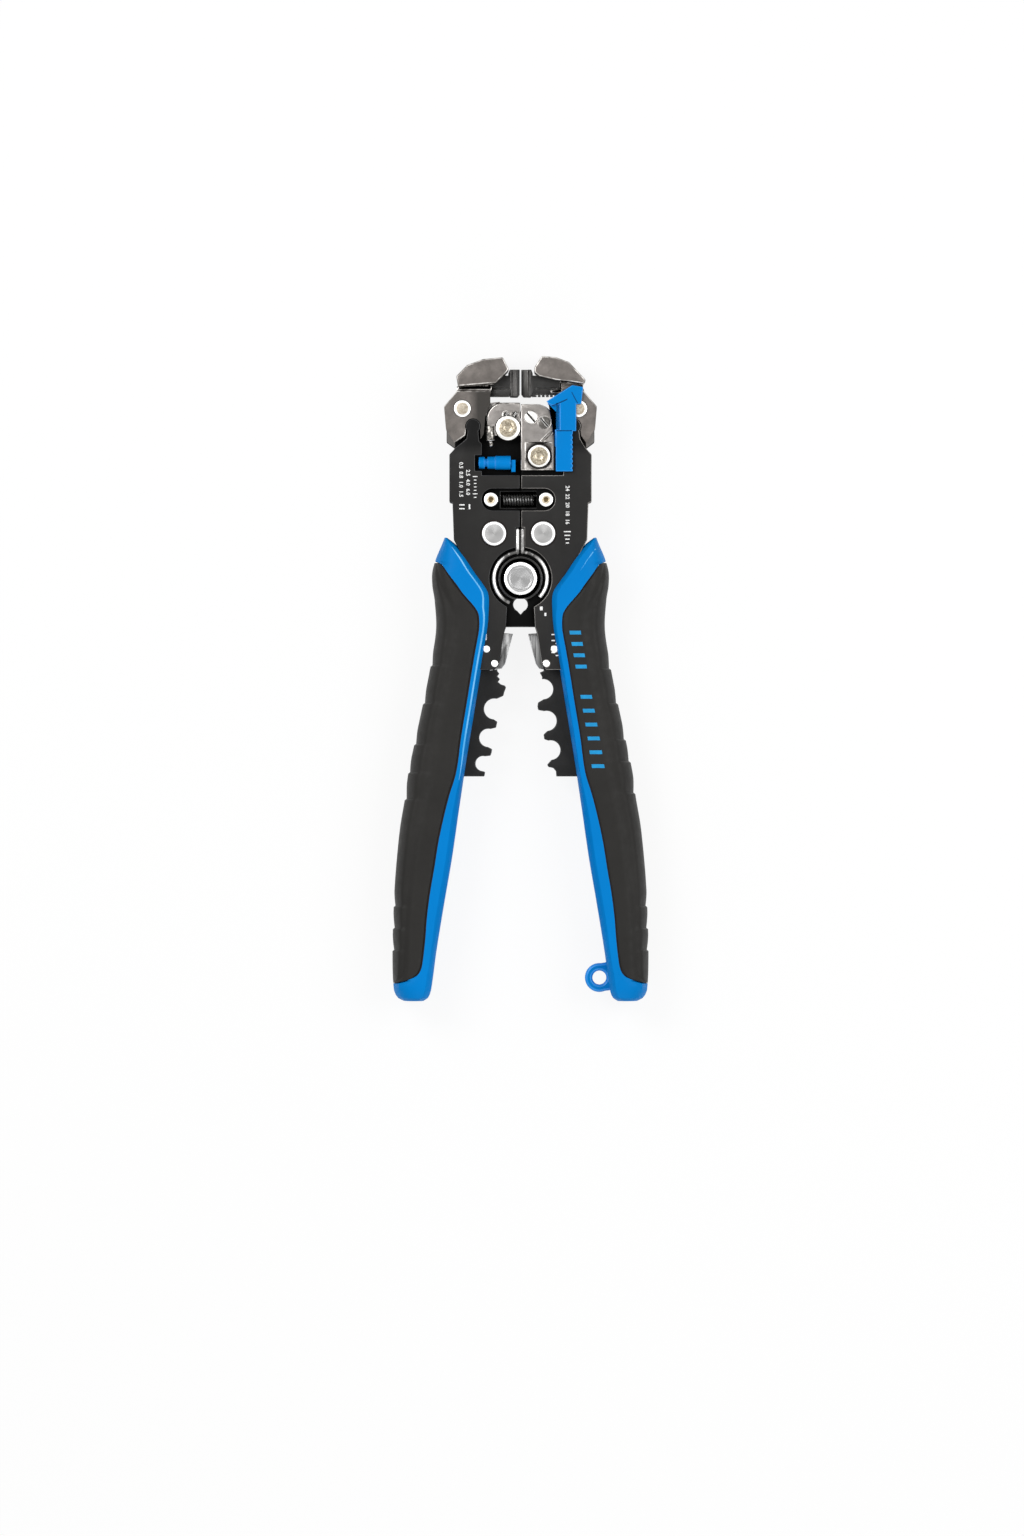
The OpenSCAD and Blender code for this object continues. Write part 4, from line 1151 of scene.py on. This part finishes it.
def camera():
    """A long lens that looks straight down, far enough away to show the tool almost in plan."""
    deselect()
    bpy.ops.object.camera_add(location=at(-2.7, -60.2, CAMERA_DISTANCE / MM), rotation=(0, 0, 0))
    view = bpy.context.active_object
    view.data.sensor_fit = "VERTICAL"
    view.data.sensor_height = SENSOR
    view.data.lens = LENS
    bpy.context.scene.camera = view
    bpy.context.scene.view_settings.view_transform = "Standard"


# Add-on


class STRIPPER_OT_stage(bpy.types.Operator):
    """Floor, soft light and a camera that looks straight down."""
    bl_idname = "stripper.stage"
    bl_label = "Stage"

    def execute(self, context):
        floor()
        studio_light()
        camera()
        return {"FINISHED"}


class STRIPPER_OT_shells(bpy.types.Operator):
    """Blue shells of both handles, with the painted highlight line along each crease."""
    bl_idname = "stripper.shells"
    bl_label = "Handle shells"

    def execute(self, context):
        for side in range(2):
            handle_shell(side)
            crease_highlight_line(side)
        return {"FINISHED"}


class STRIPPER_OT_grips(bpy.types.Operator):
    """Dark stepped grips of both handles, their seams and the bars on the right one."""
    bl_idname = "stripper.grips"
    bl_label = "Handle grips"

    def execute(self, context):
        for side in range(2):
            handle_grip(side)
            grip_seam(side)
        grip_marks()
        return {"FINISHED"}


class STRIPPER_OT_plates(bpy.types.Operator):
    """Outer lever plates, front and back."""
    bl_idname = "stripper.plates"
    bl_label = "Lever plates"

    def execute(self, context):
        lever_plates()
        return {"FINISHED"}


class STRIPPER_OT_carriers(bpy.types.Operator):
    """Carrier cheeks that hold the lower jaws."""
    bl_idname = "stripper.carriers"
    bl_label = "Carriers"

    def execute(self, context):
        carriers()
        return {"FINISHED"}


class STRIPPER_OT_cores(bpy.types.Operator):
    """Lever cores with the crimping dies, and the cutter blades in them."""
    bl_idname = "stripper.cores"
    bl_label = "Cores and blades"

    def execute(self, context):
        cores()
        blades()
        return {"FINISHED"}


class STRIPPER_OT_pivot(bpy.types.Operator):
    """Main bolt, nut and dished washers."""
    bl_idname = "stripper.pivot"
    bl_label = "Main pivot"

    def execute(self, context):
        pivot()
        return {"FINISHED"}


class STRIPPER_OT_rivets(bpy.types.Operator):
    """Large and small rivets and the painted shadow rings round the large ones."""
    bl_idname = "stripper.rivets"
    bl_label = "Rivets"

    def execute(self, context):
        rivets()
        shadow_rings()
        return {"FINISHED"}


class STRIPPER_OT_pins(bpy.types.Operator):
    """Jaw pins and spring posts."""
    bl_idname = "stripper.pins"
    bl_label = "Pins and posts"

    def execute(self, context):
        jaw_pins_and_posts()
        return {"FINISHED"}


class STRIPPER_OT_screws(bpy.types.Operator):
    """Big jaw screws, set screws and the gauge pin."""
    bl_idname = "stripper.screws"
    bl_label = "Screws"

    def execute(self, context):
        screws()
        return {"FINISHED"}


class STRIPPER_OT_upper_jaws(bpy.types.Operator):
    """Hooded upper jaws."""
    bl_idname = "stripper.upper_jaws"
    bl_label = "Upper jaws"

    def execute(self, context):
        upper_jaws()
        return {"FINISHED"}


class STRIPPER_OT_lower_jaws(bpy.types.Operator):
    """Clamped lower jaws."""
    bl_idname = "stripper.lower_jaws"
    bl_label = "Lower jaws"

    def execute(self, context):
        lower_jaws()
        return {"FINISHED"}


class STRIPPER_OT_pads(bpy.types.Operator):
    """Pads and blades set into the jaws."""
    bl_idname = "stripper.pads"
    bl_label = "Jaw pads"

    def execute(self, context):
        jaw_pads()
        return {"FINISHED"}


class STRIPPER_OT_trim(bpy.types.Operator):
    """Length stop, adjuster and lanyard eye."""
    bl_idname = "stripper.trim"
    bl_label = "Blue trim"

    def execute(self, context):
        blue_trim()
        stop_fold_shades()
        return {"FINISHED"}


class STRIPPER_OT_springs(bpy.types.Operator):
    """Tension spring and both return springs."""
    bl_idname = "stripper.springs"
    bl_label = "Springs"

    def execute(self, context):
        springs()
        return {"FINISHED"}


class STRIPPER_OT_scale(bpy.types.Operator):
    """Plain numbers and ticks printed on the front plates."""
    bl_idname = "stripper.scale"
    bl_label = "Printed scale"

    def execute(self, context):
        printed_scale()
        return {"FINISHED"}


OPERATORS = (STRIPPER_OT_stage, STRIPPER_OT_shells, STRIPPER_OT_grips, STRIPPER_OT_plates,
             STRIPPER_OT_carriers, STRIPPER_OT_cores, STRIPPER_OT_pivot, STRIPPER_OT_rivets,
             STRIPPER_OT_pins, STRIPPER_OT_screws, STRIPPER_OT_upper_jaws, STRIPPER_OT_lower_jaws,
             STRIPPER_OT_pads, STRIPPER_OT_trim, STRIPPER_OT_springs, STRIPPER_OT_scale)


class STRIPPER_PT_panel(bpy.types.Panel):
    """Colours, sizes and the steps that dress the wire stripper."""
    bl_idname = "STRIPPER_PT_panel"
    bl_label = "Wire stripper"
    bl_space_type = "VIEW_3D"
    bl_region_type = "UI"
    bl_category = "Stripper"

    def draw(self, context):
        for name in StripperSettings.__annotations__:
            self.layout.prop(context.scene.stripper, name)
        for operator in OPERATORS:
            self.layout.operator(operator.bl_idname)


CLASSES = (StripperSettings, *OPERATORS, STRIPPER_PT_panel)


def register():
    for kind in CLASSES:
        bpy.utils.register_class(kind)
    bpy.types.Scene.stripper = bpy.props.PointerProperty(type=StripperSettings)


def unregister():
    del bpy.types.Scene.stripper
    for kind in reversed(CLASSES):
        bpy.utils.unregister_class(kind)


def main():
    register()
    bpy.ops.stripper.stage()
    bpy.ops.stripper.shells()
    bpy.ops.stripper.grips()
    bpy.ops.stripper.plates()
    bpy.ops.stripper.carriers()
    bpy.ops.stripper.cores()
    bpy.ops.stripper.pivot()
    bpy.ops.stripper.rivets()
    bpy.ops.stripper.pins()
    bpy.ops.stripper.screws()
    bpy.ops.stripper.upper_jaws()
    bpy.ops.stripper.lower_jaws()
    bpy.ops.stripper.pads()
    bpy.ops.stripper.trim()
    bpy.ops.stripper.springs()
    bpy.ops.stripper.scale()


if __name__ == "__main__":
    main()
